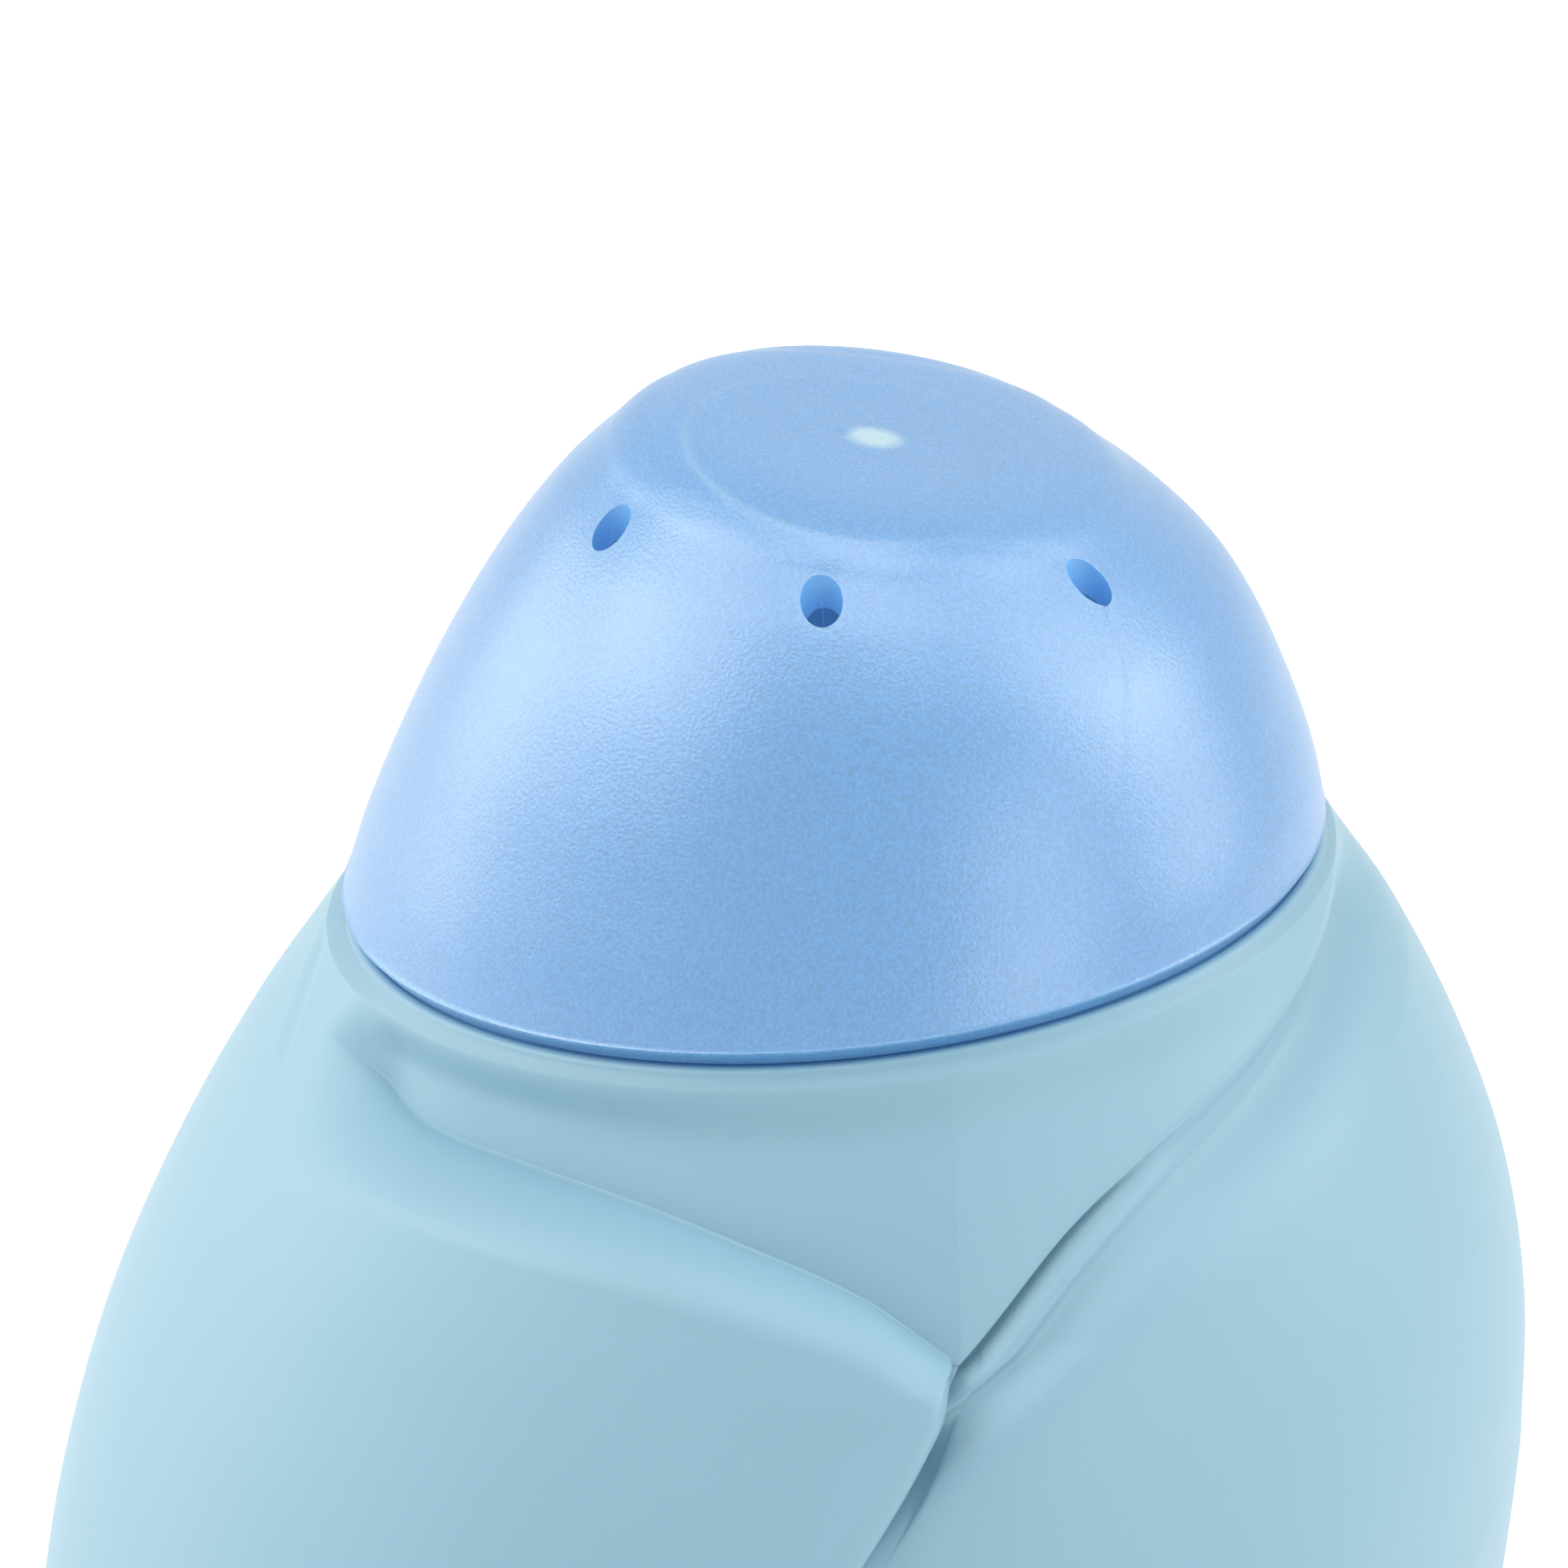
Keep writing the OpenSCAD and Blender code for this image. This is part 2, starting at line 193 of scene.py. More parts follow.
def scale_colour(
    tree: bpy.types.NodeTree, colour: bpy.types.NodeSocket, share: bpy.types.NodeSocket
) -> bpy.types.NodeSocket:
    """Makes a colour lighter or darker by a share."""
    scaled = add_node(tree, "VectorMath", {0: colour, "Scale": share}, operation="SCALE")
    return scaled.outputs["Vector"]


# ---- Finishes --------------------------------------------------------------------------------


class Grain(Enum):
    """How a surface is textured in its mould, as (size in mm, depth in mm)."""

    SATIN = (0.35, 0.012)
    SANDBLAST = (0.2, 0.03)
    POLISHED = (1.6, 0.006)

    @property
    def scale(self) -> float:
        """How many grains lie in a metre."""
        return 1 / (self.value[0] * MM)


@dataclass(frozen=True)
class Finish:
    """A moulded material with its colour, sheen and grain."""

    name: str
    colour: Colour
    roughness: float
    grain: Grain
    variation: float = 0.04
    transmission: float = 0.0
    subsurface: float = 0.0
    scatter: Colour = (1.0, 1.0, 1.0)
    scatter_depth: float = 0.002
    sheen: float = 0.0
    specular: float = 0.5
    ior: float = 1.45
    # painted glints: how far the grain lightens the colour in flecks, and darkens it between them
    painted_glint: float = 0.0
    # painted light: the surface glows, in place of light coming through a translucent wall
    painted_glow: float = 0.0
    # pale colour of the gate's scar, also used for painted glints on mould lines
    mark_and_glint_colour: Optional[Colour] = None
    # painted shade: how much the colour darkens in creases and recesses, found by ambient occlusion
    painted_fold_shade: float = 0.0
    painted_shade_reach: float = 3.0
    painted_shade_range: Pair = (0.45, 1.0)
    glint_range: Pair = (0.35, 0.68)
    glint_gain: float = 1.6
    cloud_scale: float = 55.0
    cloud_stops: Pair = (0.3, 0.7)
    rough_change: float = 0.04

    def material(self) -> bpy.types.Material:
        """Makes the node material once, and gives the same one afterwards.

        Returns:
            The material.
        """
        known = bpy.data.materials.get(self.name)
        if known:
            return known
        made = bpy.data.materials.new(self.name)
        made.use_nodes = True
        tree = made.node_tree
        shader = tree.nodes["Principled BSDF"]
        place = add_node(tree, "TexCoord").outputs["Object"]
        cloud = self._noise(tree, place, self.cloud_scale, detail=3.0)
        glinted = self._paint_glints(tree, self._clouded(tree, cloud), place)
        rough_ends = (self.roughness - self.rough_change, self.roughness + self.rough_change)
        fill_inputs(tree, shader, {
            "IOR": self.ior,
            "Transmission Weight": self.transmission,
            "Subsurface Weight": self.subsurface,
            "Subsurface Radius": self.scatter,
            "Subsurface Scale": self.scatter_depth,
            "Sheen Weight": self.sheen,
            "Specular IOR Level": self.specular,
            "Emission Color": (*self.colour, 1),
            "Emission Strength": self.painted_glow,
            # the base colour carries the painted shade in folds
            "Base Color": self._paint_fold_shade(tree, self._paint_mark_and_glint(tree, glinted)),
            "Roughness": map_range(tree, cloud, (0.0, 1.0), rough_ends),
            "Normal": self._grain(tree, place),
        })
        return made

    @staticmethod
    def _noise(
        tree: bpy.types.NodeTree, place: bpy.types.NodeSocket, scale: float, detail: float
    ) -> bpy.types.NodeSocket:
        """Makes a noise from 0 to 1, whose scale says how many of its grains lie in a metre."""
        values = {"Vector": place, "Scale": scale, "Detail": detail}
        return add_node(tree, "TexNoise", values).outputs["Fac"]

    def _clouded(
        self, tree: bpy.types.NodeTree, cloud: bpy.types.NodeSocket
    ) -> bpy.types.NodeSocket:
        """Varies the colour slowly over the surface.

        Args:
            tree: The material's node tree.
            cloud: A noise with large grains.

        Returns:
            The varied colour.
        """
        ramp = add_node(tree, "ValToRGB", {"Fac": cloud})
        shares = (1 - self.variation, 1 + self.variation)
        for element, stop, share in zip(ramp.color_ramp.elements, self.cloud_stops, shares):
            element.position = stop
            element.color = (*(min(1.0, c * share) for c in self.colour), 1)
        return ramp.outputs["Color"]

    def _paint_glints(
        self, tree: bpy.types.NodeTree, colour: bpy.types.NodeSocket, place: bpy.types.NodeSocket
    ) -> bpy.types.NodeSocket:
        """Varies the colour with the grain: the light flecks are painted glints standing in for a
        sandblasted face's sparkle, with darker grain between them.

        Args:
            tree: The material's node tree.
            colour: The colour without flecks.
            place: Where on the object a point lies.

        Returns:
            The colour with flecks.
        """
        if not self.painted_glint:
            return colour
        noise = self._noise(tree, place, self.grain.scale, detail=1.0)
        shares = (1 - self.painted_glint, 1 + self.glint_gain * self.painted_glint)
        return scale_colour(tree, colour, map_range(tree, noise, self.glint_range, shares))

    def _paint_mark_and_glint(
        self, tree: bpy.types.NodeTree, colour: bpy.types.NodeSocket
    ) -> bpy.types.NodeSocket:
        """Pales the colour where the mesh carries the gate's scar, and paints a glint along the
        witness line.

        Args:
            tree: The material's node tree.
            colour: The colour without marks.

        Returns:
            The colour with marks.
        """
        if self.mark_and_glint_colour is None:
            return colour
        where = add_node(tree, "Attribute", attribute_name="mark_and_glint").outputs["Fac"]
        values = {"Factor": where, "A": colour, "B": (*self.mark_and_glint_colour, 1)}
        return add_node(tree, "Mix", values, data_type="RGBA").outputs["Result"]

    def _paint_fold_shade(
        self, tree: bpy.types.NodeTree, colour: bpy.types.NodeSocket
    ) -> bpy.types.NodeSocket:
        """Paints shade into folds: darkens the colour where ambient occlusion finds the surface
        hemmed in.

        Args:
            tree: The material's node tree.
            colour: The colour without folds.

        Returns:
            The colour with folds.
        """
        if not self.painted_fold_shade:
            return colour
        reach = {"Distance": self.painted_shade_reach * MM}
        fold = add_node(tree, "AmbientOcclusion", reach, samples=8, only_local=True)
        shares = (1 - self.painted_fold_shade, 1.0)
        open_share = map_range(tree, fold.outputs["AO"], self.painted_shade_range, shares)
        return scale_colour(tree, colour, open_share)

    def _grain(self, tree: bpy.types.NodeTree, place: bpy.types.NodeSocket) -> bpy.types.NodeSocket:
        """Makes the grain that the mould leaves.

        Args:
            tree: The material's node tree.
            place: Where on the object a point lies.

        Returns:
            The grained normal.
        """
        height = self._noise(tree, place, self.grain.scale, detail=2.0)
        values = {"Height": height, "Strength": 1.0, "Distance": self.grain.value[1] * MM}
        return add_node(tree, "Bump", values).outputs["Normal"]


BODY_SILICONE = Finish(
    name="body_silicone",
    colour=(0.30, 0.55, 0.68),
    roughness=0.45,
    grain=Grain.SATIN,
    variation=0.015,
    subsurface=0.06,
    scatter=(0.5, 0.8, 1.0),
    scatter_depth=0.0015,
    sheen=0.15,
    specular=1.0,
    # painted shade in the wrap's creases and beside the flap's edges
    painted_fold_shade=0.22,
)
FROSTED_BLUE = Finish(
    name="frosted_blue_plastic",
    colour=(0.10, 0.36, 0.72),
    roughness=0.3,
    grain=Grain.SANDBLAST,
    variation=0.03,
    subsurface=0.35,
    scatter=(0.4, 0.7, 1.0),
    scatter_depth=0.002,
    sheen=0.2,
    specular=1.0,
    ior=1.75,
    # painted glints in the sandblasted grain
    painted_glint=0.1,
    # the gate's pale scar, and a painted glint along the witness line
    mark_and_glint_colour=(0.62, 0.86, 0.90),
)
# The cap's inner faces, skirt and vent walls: a lighter blue with a painted glow, in place of light
# through the frosted plastic
FROSTED_INSIDE_PAINTED_GLOW = Finish(
    name="frosted_blue_inside_painted_glow",
    colour=(0.16, 0.42, 0.78),
    roughness=0.4,
    grain=Grain.SATIN,
    variation=0.02,
    painted_glow=0.2,
)
COLLAR_WHITE = Finish(
    name="collar_plastic",
    colour=(0.80, 0.86, 0.90),
    roughness=0.35,
    grain=Grain.POLISHED,
    variation=0.01,
)
INSERT_CLEAR = Finish(
    name="insert_plastic",
    colour=(0.72, 0.80, 0.86),
    roughness=0.28,
    grain=Grain.POLISHED,
    variation=0.01,
    transmission=0.3,
)
TEAT_SILICONE = Finish(
    name="teat_silicone",
    colour=(0.78, 0.86, 0.90),
    roughness=0.3,
    grain=Grain.POLISHED,
    variation=0.01,
    transmission=0.25,
    subsurface=0.2,
)


# ---- Meshes ----------------------------------------------------------------------------------


def loft(
    name: str, rows: Sequence[Points], finish: Finish, closed_ends: bool = True
) -> bpy.types.Object:
    """Skins rows of points, each a closed ring, into one smooth mesh.

    Args:
        name: The object's name.
        rows: Rings with the same number of points, in mm.
        finish: What it is made of.
        closed_ends: Closes the first and the last row to a point; otherwise they join.

    Returns:
        The new object.
    """
    n = len(rows[0])
    points = np.concatenate(rows)
    faces: list[tuple[int, ...]] = []
    following = np.roll(np.arange(n), -1)
    pairs = len(rows) - 1 if closed_ends else len(rows)
    for k in range(pairs):
        low, high = k * n, ((k + 1) % len(rows)) * n
        faces += [(low + j, low + m, high + m, high + j) for j, m in enumerate(following)]
    if closed_ends:
        ends = np.array([rows[0].mean(axis=0), rows[-1].mean(axis=0)])
        first, last = len(points), len(points) + 1
        top = (len(rows) - 1) * n
        faces += [(m, j, first) for j, m in enumerate(following)]
        faces += [(top + j, top + m, last) for j, m in enumerate(following)]
        points = np.concatenate([points, ends])
    return mesh_object(name, points, faces, finish)


def mesh_object(
    name: str, points: Points, faces: Sequence[Sequence[int]], finish: Finish
) -> bpy.types.Object:
    """Makes a smooth-shaded object from points in mm.

    Args:
        name: The object's name.
        points: Its vertices, in mm.
        faces: Its faces, as vertex numbers.
        finish: What it is made of.

    Returns:
        The new object, with outward normals.
    """
    mesh = bpy.data.meshes.new(name)
    mesh.from_pydata([tuple(p) for p in points * MM], [], [tuple(map(int, f)) for f in faces])
    work = bmesh.new()
    work.from_mesh(mesh)
    bmesh.ops.remove_doubles(work, verts=work.verts, dist=SAME_POINT)
    bmesh.ops.recalc_face_normals(work, faces=work.faces)
    work.to_mesh(mesh)
    work.free()
    mesh.polygons.foreach_set("use_smooth", [True] * len(mesh.polygons))
    mesh.materials.append(finish.material())
    made = bpy.data.objects.new(name, mesh)
    bpy.context.scene.collection.objects.link(made)
    return made


def apply_modifiers(piece: bpy.types.Object) -> None:
    """Bakes an object's modifiers into its mesh.

    Args:
        piece: The object.
    """
    graph = bpy.context.evaluated_depsgraph_get()
    solid = bpy.data.meshes.new_from_object(piece.evaluated_get(graph))
    piece.modifiers.clear()
    piece.data = solid


# ---- The neck axis, which the collar, the teat and the cap share -----------------------------


@dataclass(frozen=True)
class Neck:
    """The leaning axis of the neck, read from the frame's collar joint."""

    seam_h: float
    lean: float
    rim_tip: float = 0.026
    cap_span: Span = (0.0, 9.0)
    body_span: Span = (0.9, 4.0)
    clear_of_floor: float = 0.6

    @classmethod
    def from_frame(cls) -> "Neck":
        """Reads the seam's height and the lean from the collar's hinge.

        Returns:
            The neck.
        """
        joints = frame["record"]["behaviour"]["joints"]
        hinge = next(joint for joint in joints if joint["name"] == "collar_turn")
        lean = math.degrees(math.atan2(-hinge["axis"][0], hinge["axis"][2]))
        return cls(seam_h=hinge["pos_m"][2] / MM, lean=lean)

    @property
    def slope(self) -> float:
        """Rise of a ring square to the axis, for each mm to the right."""
        return math.tan(math.radians(self.lean))

    @property
    def axis(self) -> Points:
        """Direction of the axis, upwards."""
        return np.array([-sind(self.lean), 0.0, cosd(self.lean)])

    def place(self, radius: Points, level: Points, turn: Points) -> Points:
        """Puts points given round the neck axis into the row frame.

        Args:
            radius: Distance from the axis.
            level: Height above the seam, along the axis.
            turn: Direction round the axis.

        Returns:
            The points in mm, one to a row.
        """
        radius, level, turn = np.broadcast_arrays(*map(np.asarray, (radius, level, turn)))
        across = radius * cosd(turn)
        x = across * cosd(self.lean) - level * sind(self.lean)
        y = radius * sind(turn)
        z = self.seam_h + across * sind(self.lean) + level * cosd(self.lean)
        return np.stack([x, y, z], axis=-1)

    def tip(self, points: Points, level: Points) -> Points:
        """Tips the rim a little towards the back, which fades out over the cap and the body.

        Args:
            points: Points in mm.
            level: Their heights above the seam.

        Returns:
            The tipped points.
        """
        tipped = points.copy()
        above, under = fade_out(level, self.cap_span), fade_out(-level, self.body_span)
        share = np.where(level > 0, above, under)
        tipped[..., 2] -= self.rim_tip * points[..., 1] * share
        return tipped

    def rim_rows(self, profile: Sequence[Pair], floor: float, turns: Points) -> list[Points]:
        """Turns the profile of a rim round the axis, and tips what is clear of its floor.

        Args:
            profile: (radius, level) points.
            floor: Level of the profile's lowest seat, which stays square to the axis.
            turns: Directions round the axis.

        Returns:
            The rows.
        """
        rows = []
        for radius, level in profile:
            row = self.place(radius, level, turns)
            rows.append(self.tip(row, level) if level > floor + self.clear_of_floor else row)
        return rows


def revolve(
    name: str, neck: Neck, outline: Sequence[Pair], finish: Finish, columns: int = 192
) -> bpy.types.Object:
    """Turns a closed outline round the neck axis.

    Args:
        name: The object's name.
        neck: The axis.
        outline: (radius, level) corners of the section, in order.
        finish: What it is made of.
        columns: Points round the turn.

    Returns:
        The new object.
    """
    turns = turns_round(columns)
    rows = [neck.place(r, level, turns) for r, level in outline]
    return loft(name, rows, finish, closed_ends=False)


def rounded(outline: Sequence[Pair], radius: float, steps: int = 4) -> list[Pair]:
    """Rounds every corner of a closed outline.

    Args:
        outline: (radius, level) corners in order.
        radius: The corner radius, which short sides limit.
        steps: Points along each corner.

    Returns:
        The rounded outline.
    """
    p = np.array(outline, float)
    out: list[Pair] = []
    for i in range(len(p)):
        before, here, after = p[i - 1], p[i], p[(i + 1) % len(p)]
        a, b = before - here, after - here
        la, lb = np.hypot(*a), np.hypot(*b)
        cut = min(radius, CORNER_SHARE * la, CORNER_SHARE * lb)
        start, end = here + a / la * cut, here + b / lb * cut
        for t in np.linspace(0, 1, steps):
            q = (1 - t) ** 2 * start + 2 * t * (1 - t) * here + t**2 * end
            out.append((float(q[0]), float(q[1])))
    return out


@dataclass(frozen=True)
class Thread:
    """A screw thread on the neck axis."""

    root_r: float
    height: float
    low: float
    turns: float
    lead: float
    width: float = 1.5
    phase: float = 0.0
    shoulder: Pair = (0.75, 0.45)  # of the ridge's height, and of half its width
    sunk: float = 0.15
    run_out: int = 12
    steps_a_turn: int = 72

    def ridge(self, name: str, neck: Neck, finish: Finish) -> bpy.types.Object:
        """Sweeps the thread's ridge along its helix.

        Args:
            name: The object's name.
            neck: The axis.
            finish: What it is made of.

        Returns:
            The new object; a negative height points the ridge inwards.
        """
        t = np.linspace(0, 1, int(self.turns * self.steps_a_turn) + 1)
        run = np.minimum(1.0, np.minimum(t, 1 - t) * self.run_out)
        height = self.height * ease(run)
        base = np.full_like(t, self.root_r - self.sunk * np.sign(self.height))
        half = self.width / 2
        out, flank = self.shoulder[0], half * self.shoulder[1]
        section = [(0.0, -half), (out, -flank), (1.0, 0.0), (out, flank), (0.0, half)]
        turn = self.phase + FULL_TURN * self.turns * t
        level = self.low + self.lead * self.turns * t
        rails = [neck.place(base, level - half, turn)]
        rails += [neck.place(self.root_r + height * out, level + up, turn) for out, up in section]
        rails += [neck.place(base, level + half, turn)]
        n, m = len(rails), len(t)
        points = np.stack(rails, axis=1).reshape(-1, 3)
        faces = [
            (k * n + i, k * n + (i + 1) % n, (k + 1) * n + (i + 1) % n, (k + 1) * n + i)
            for k in range(m - 1)
            for i in range(n)
        ]
        faces += [tuple(range(n)), tuple(reversed(range((m - 1) * n, m * n)))]
        return mesh_object(name, points, faces, finish)


# ---- The silicone body -----------------------------------------------------------------------


@dataclass
class SiliconeBody:
    """The squeezable body with its swaddle-like wrap, its rim and its cavity.

    Directions of the wrap count from the point of the V, to the left for the flap and to the
    right for the panel.
    """

    neck: Neck
    finish: Finish = BODY_SILICONE
    belly_r: float = 42.8
    belly_h: float = 34.6
    belly_lean: float = 16.5
    foot_r: float = 30.0
    foot_w: float = 5.0
    foot_rise: float = 1.2
    foot_round: float = 2.3
    top_r: float = 27.8
    lean_growth: float = 1.7
    wall: float = 3.2
    floor_t: float = 4.5
    rim_gap: float = 0.92
    rim_band: float = 4.6
    groove_r: float = 27.7
    groove_depth: float = 2.8
    lip_w: float = 0.75
    bore_r: float = 20.5
    pocket_r: float = 24.7
    pocket_levels: tuple[float, float] = (-5.1, -7.9)
    bore_end: float = -9.5
    point_turn: float = -74.5
    point_drop: float = 12.0
    hem_swing: float = 37.0
    hem_fade: Span = (0.0, 110.0)
    flap_h: float = 1.75
    flap_round: float = 2.5
    hem_round: float = 0.9
    corner_round: float = 2.0
    ledge: float = 0.1
    fold_w: float = 5.5
    panel_h: float = 0.8
    recess: float = 3.2  # the chest panel's dip under the left end of the flap
    chest_dip: float = 1.1
    chest_start: float = 1.3
    chest_step: Span = (0.0, 3.2)
    chest_shares: Pair = (0.55, 0.45)  # share of the dip in its step, and in its slant
    chest_right_fade: Span = (0.0, 60.0)
    recess_reach: float = 55.0
    recess_growth: float = 0.7
    pocket_start: Span = (-85.0, 13.0)
    foot_share: float = 0.35  # share of the point's height over which the wrap fades out
    flap_fade: Span = (35.0, 50.0)
    flap_softening: Span = (58.0, 22.0)
    slot_span: Span = (0.0, 6.0)
    slot_floor: Pair = (-0.3, 0.25)  # the skin beside the hem, at the foot and above it
    slot_cut: float = 0.15
    panel_fade: Span = (30.0, 90.0)
    panel_start: Pair = (2.5, 8.0)  # degrees across and mm down in which the panel rises
    ridge_fade: Span = (10.0, 18.0)
    ledge_fade: Span = (66.0, 18.0)
    crease_turns: Pair = (-177.0, -163.0)  # where the crease starts and ends
    crease_in: Span = (1.6, 1.2)
    crease_out: Span = (3.5, 5.0)
    crease_dip: Pair = (0.2, 0.8)  # depth and width
    crease_swell: Pair = (0.1, 1.0)  # height and width
    crease_off: float = 1.8
    hem_top: float = 4.0
    hem_steepness: float = 3.0
    hem_slot_w: float = 0.8
    seam_w: float = 2.0
    valley_overlap: float = 0.25
    ledge_w: float = 0.5
    point_w: float = 2.0  # degrees beside the point in which the V has no slope of its own
    lip_h: float = 0.8
    step_gap: float = 0.015  # between the rows on either side of the neckline
    near_reach: float = 7.0
    chest_packing: float = 1.35
    near_packing: float = 1.5
    foot_growth: float = 1.15
    foot_bias: float = 0.7
    column_gaps: tuple[float, float, float] = (0.10, 0.26, 1.1)  # each adds to the one before
    beside_point: Span = (0.0, 9.0)
    at_back: Span = (78.0, 30.0)
    shoulder: float = 2.9
    inner_packing: float = 1.5
    corner_growth: float = 1.2  # how much thicker the wall gets down to the floor
    corner_span: Span = (0.8, 0.2)
    floor_shares: tuple[float, ...] = (0.04, 0.3, 0.6, 0.9)
    column_count: int = 760
    near_rows: int = 64
    far_rows: int = 110
    chest_rows: int = 44
    inner_rows: int = 36
    form: Stations = (
        (0, 0), (0.084, 0.145), (0.208, 0.372), (0.374, 0.618), (0.562, 0.826), (0.771, 0.953),
        (1, 1),
    )
    v_left: Stations = (
        (0, 1), (8.9, 0.66), (20.6, 0.42), (33.4, 0.26), (48, 0.185), (60, 0.17), (67, 0.15),
        (73, 0.1), (79, 0.01), (85, -0.05), (110, -0.05), (180, 0.03),
    )
    v_right: Stations = (
        (0, 1), (9.6, 0.59), (17.3, 0.39), (28.5, 0.22), (47, 0), (67, -0.18), (80, -0.2),
        (110, 0), (180, 0.03),
    )
    fold_plain: Stations = (
        (0, 0), (0.4, 0.3), (1, 0.95), (1.8, 1.6), (2.4, 1.8), (3.2, 1.6), (4.5, 0.7), (6.8, 0),
    )
    fold_ridged: Stations = (
        (0, 0), (0.14, 0.6), (0.35, 0.78), (0.6, 0.65), (1.1, 0.42), (1.5, 0.55), (2.3, 1.15),
        (2.9, 1.35), (3.7, 1.15), (5, 0.5), (6.8, 0),
    )
    roll: Stations = ((0, 0), (1.2, 0.4), (2.5, 0.6), (4, 0.4), (6.5, 0.12), (9.5, 0))
    hem_valley: Stations = ((0, 0.2), (1, 0.22), (3, 0.14), (6, 0.04), (8, 0))

    def down_to_belly(self, level: Points) -> Points:
        """Share of the way down from the seam to the widest ring."""
        return np.clip((self.neck.seam_h - level) / (self.neck.seam_h - self.belly_h), 0, 1)

    def radius(self, level: Points) -> Points:
        """Radius of the plain body, without its wrap.

        Args:
            level: Height of the slanted ring's centre.

        Returns:
            The radius at each level.
        """
        upper = mix(self.top_r, self.belly_r, curve_through(self.form, self.down_to_belly(level)))
        down = np.clip((self.belly_h - level) / self.belly_h, 0, 1)
        swell = (1 - down**self.foot_round) ** (1 / self.foot_round)
        return np.where(level > self.belly_h, upper, mix(self.foot_r, self.belly_r, swell))

    def slope(self, level: Points) -> Points:
        """Slope of the slanted ring, which is level at the foot.

        Args:
            level: Height of the slanted ring's centre.

        Returns:
            The ring's rise for each mm to the right.
        """
        belly = math.tan(math.radians(self.belly_lean))
        upper = mix(self.neck.slope, belly, self.down_to_belly(level) ** self.lean_growth)
        down = np.clip((self.belly_h - level) / self.belly_h, 0, 1)
        return np.where(level > self.belly_h, upper, belly * (1 - down**2))

    def above_foot(self, level: Points) -> Points:
        """Fades the wrap out towards the foot: 1 up to the point of the V, and 0 at the foot."""
        return ease(level / (self.foot_share * self.neckline(self.point_turn)))

    def round_way(self, degrees: Points, level: Points) -> Points:
        """Length in mm of an angle round the body at a level."""
        return degrees * self.radius(level) * math.radians(1)

    def place(
        self, turn: Points, level: Points, out: Points = 0.0, slope_share: float = 1.0
    ) -> Points:
        """Puts points of the body's skin into the row frame.

        Args:
            turn: Direction round the body.
            level: Height of the slanted ring's centre.
            out: How far the point stands out from the plain body.
            slope_share: Share of the ring's slope to keep.

        Returns:
            The points in mm, one to a row.
        """
        r = self.radius(level) + out
        deep = mix(1 / cosd(self.neck.lean), 1.0, self.down_to_belly(level))
        across = r * cosd(turn)
        z = level + across * self.slope(level) * slope_share
        skin = np.stack([across, r * deep * sind(turn), z], -1)
        return self.neck.tip(skin, level - self.neck.seam_h)

    def neckline(self, turn: Points) -> Points:
        """Finds the V neckline, where the chest panel ends and the wrap starts.

        Args:
            turn: Direction round the body.

        Returns:
            The neckline's level in each direction.
        """
        away = np.asarray(turn) - self.point_turn
        left, right = curve_through(self.v_left, -away), curve_through(self.v_right, away)
        share = np.where(away < 0, left, right)
        return self.neck.seam_h - self.rim_band - self.point_drop * share

    def hem_shift(self, turn: Points, level: Points) -> Points:
        """Finds how far a column swings back with the flap's free edge.

        Args:
            turn: Direction round the body, before the column swings.
            level: Height of the slanted ring's centre.

        Returns:
            The angle to add at each point.
        """
        point = self.neckline(self.point_turn)
        down = np.clip((point - level) / point, 0, 1)
        near = fade_out(np.abs(turn - self.point_turn), self.hem_fade)
        return -self.hem_swing * sind(90 * down) * near

    def chest(self, turn: Points, level: Points) -> Points:
        """Height of the chest panel inside the V, which dips under the flap.

        Args:
            turn: Direction round the body.
            level: Height of the slanted ring's centre.

        Returns:
            The height at each point, zero or below.
        """
        away = turn - self.point_turn
        depth = self.neck.seam_h - level
        line = self.neck.seam_h - self.neckline(turn)
        deeper = np.clip(-away / self.recess_reach, 0, 1) ** self.recess_growth
        left = mix(self.chest_dip, self.recess, deeper)
        dip = np.where(away < 0, left, self.chest_dip * fade_out(away, self.chest_right_fade))
        under = depth - self.chest_start
        step, slant = self.chest_shares
        evenly = np.clip(under / (line - self.chest_start), 0, 1)
        fall = step * fade_in(under, self.chest_step) + slant * evenly
        return -fall * dip * fade_in(away, self.pocket_start)

    def flap(self, turn: Points, level: Points, below: Points) -> Points:
        """Height of the flap, with its rounded upper edge, its corner and its free edge.

        Args:
            turn: Direction round the body, before the columns swing with the hem.
            level: Height of the slanted ring's centre.
            below: Distance below the neckline, in mm.

        Returns:
            The height at each point left of the free edge.
        """
        away = turn - self.point_turn
        point = self.neckline(self.point_turn)
        inside = self.round_way(np.clip(-away, 0, None), level)
        inside = inside + np.clip(level - point, 0, None) * self.hem_steepness
        inside = np.where(level > point + self.hem_top, FAR, inside)
        r = self.corner_round
        a, b = np.clip(r - below, 0, r), np.clip(r - inside, 0, r)
        edge = np.where((a > 0) & (b > 0), r - np.hypot(a, b), np.minimum(below, inside))
        share = ease(0.5 + 0.5 * (below - inside) / (below + inside + 1e-6))
        softening = 1 + fade_in(-away, self.flap_softening)
        rounding = mix(self.flap_round, self.hem_round, share) * softening
        full = np.sqrt(np.clip(1 - (1 - np.clip(edge / rounding, 0, 1)) ** 2, 0, 1))
        above_foot = self.above_foot(level)
        top = self.flap_h * fade_out(-away, self.flap_fade) * above_foot
        top = top + curve_through(self.roll, edge) * share * above_foot
        lying = mix(*self.slot_floor, above_foot)
        slot = mix(-self.chest_dip - self.slot_cut, lying, fade_in(point - level, self.slot_span))
        low = np.where(level > point, self.chest(turn, level), slot)
        return mix(low, top, full)

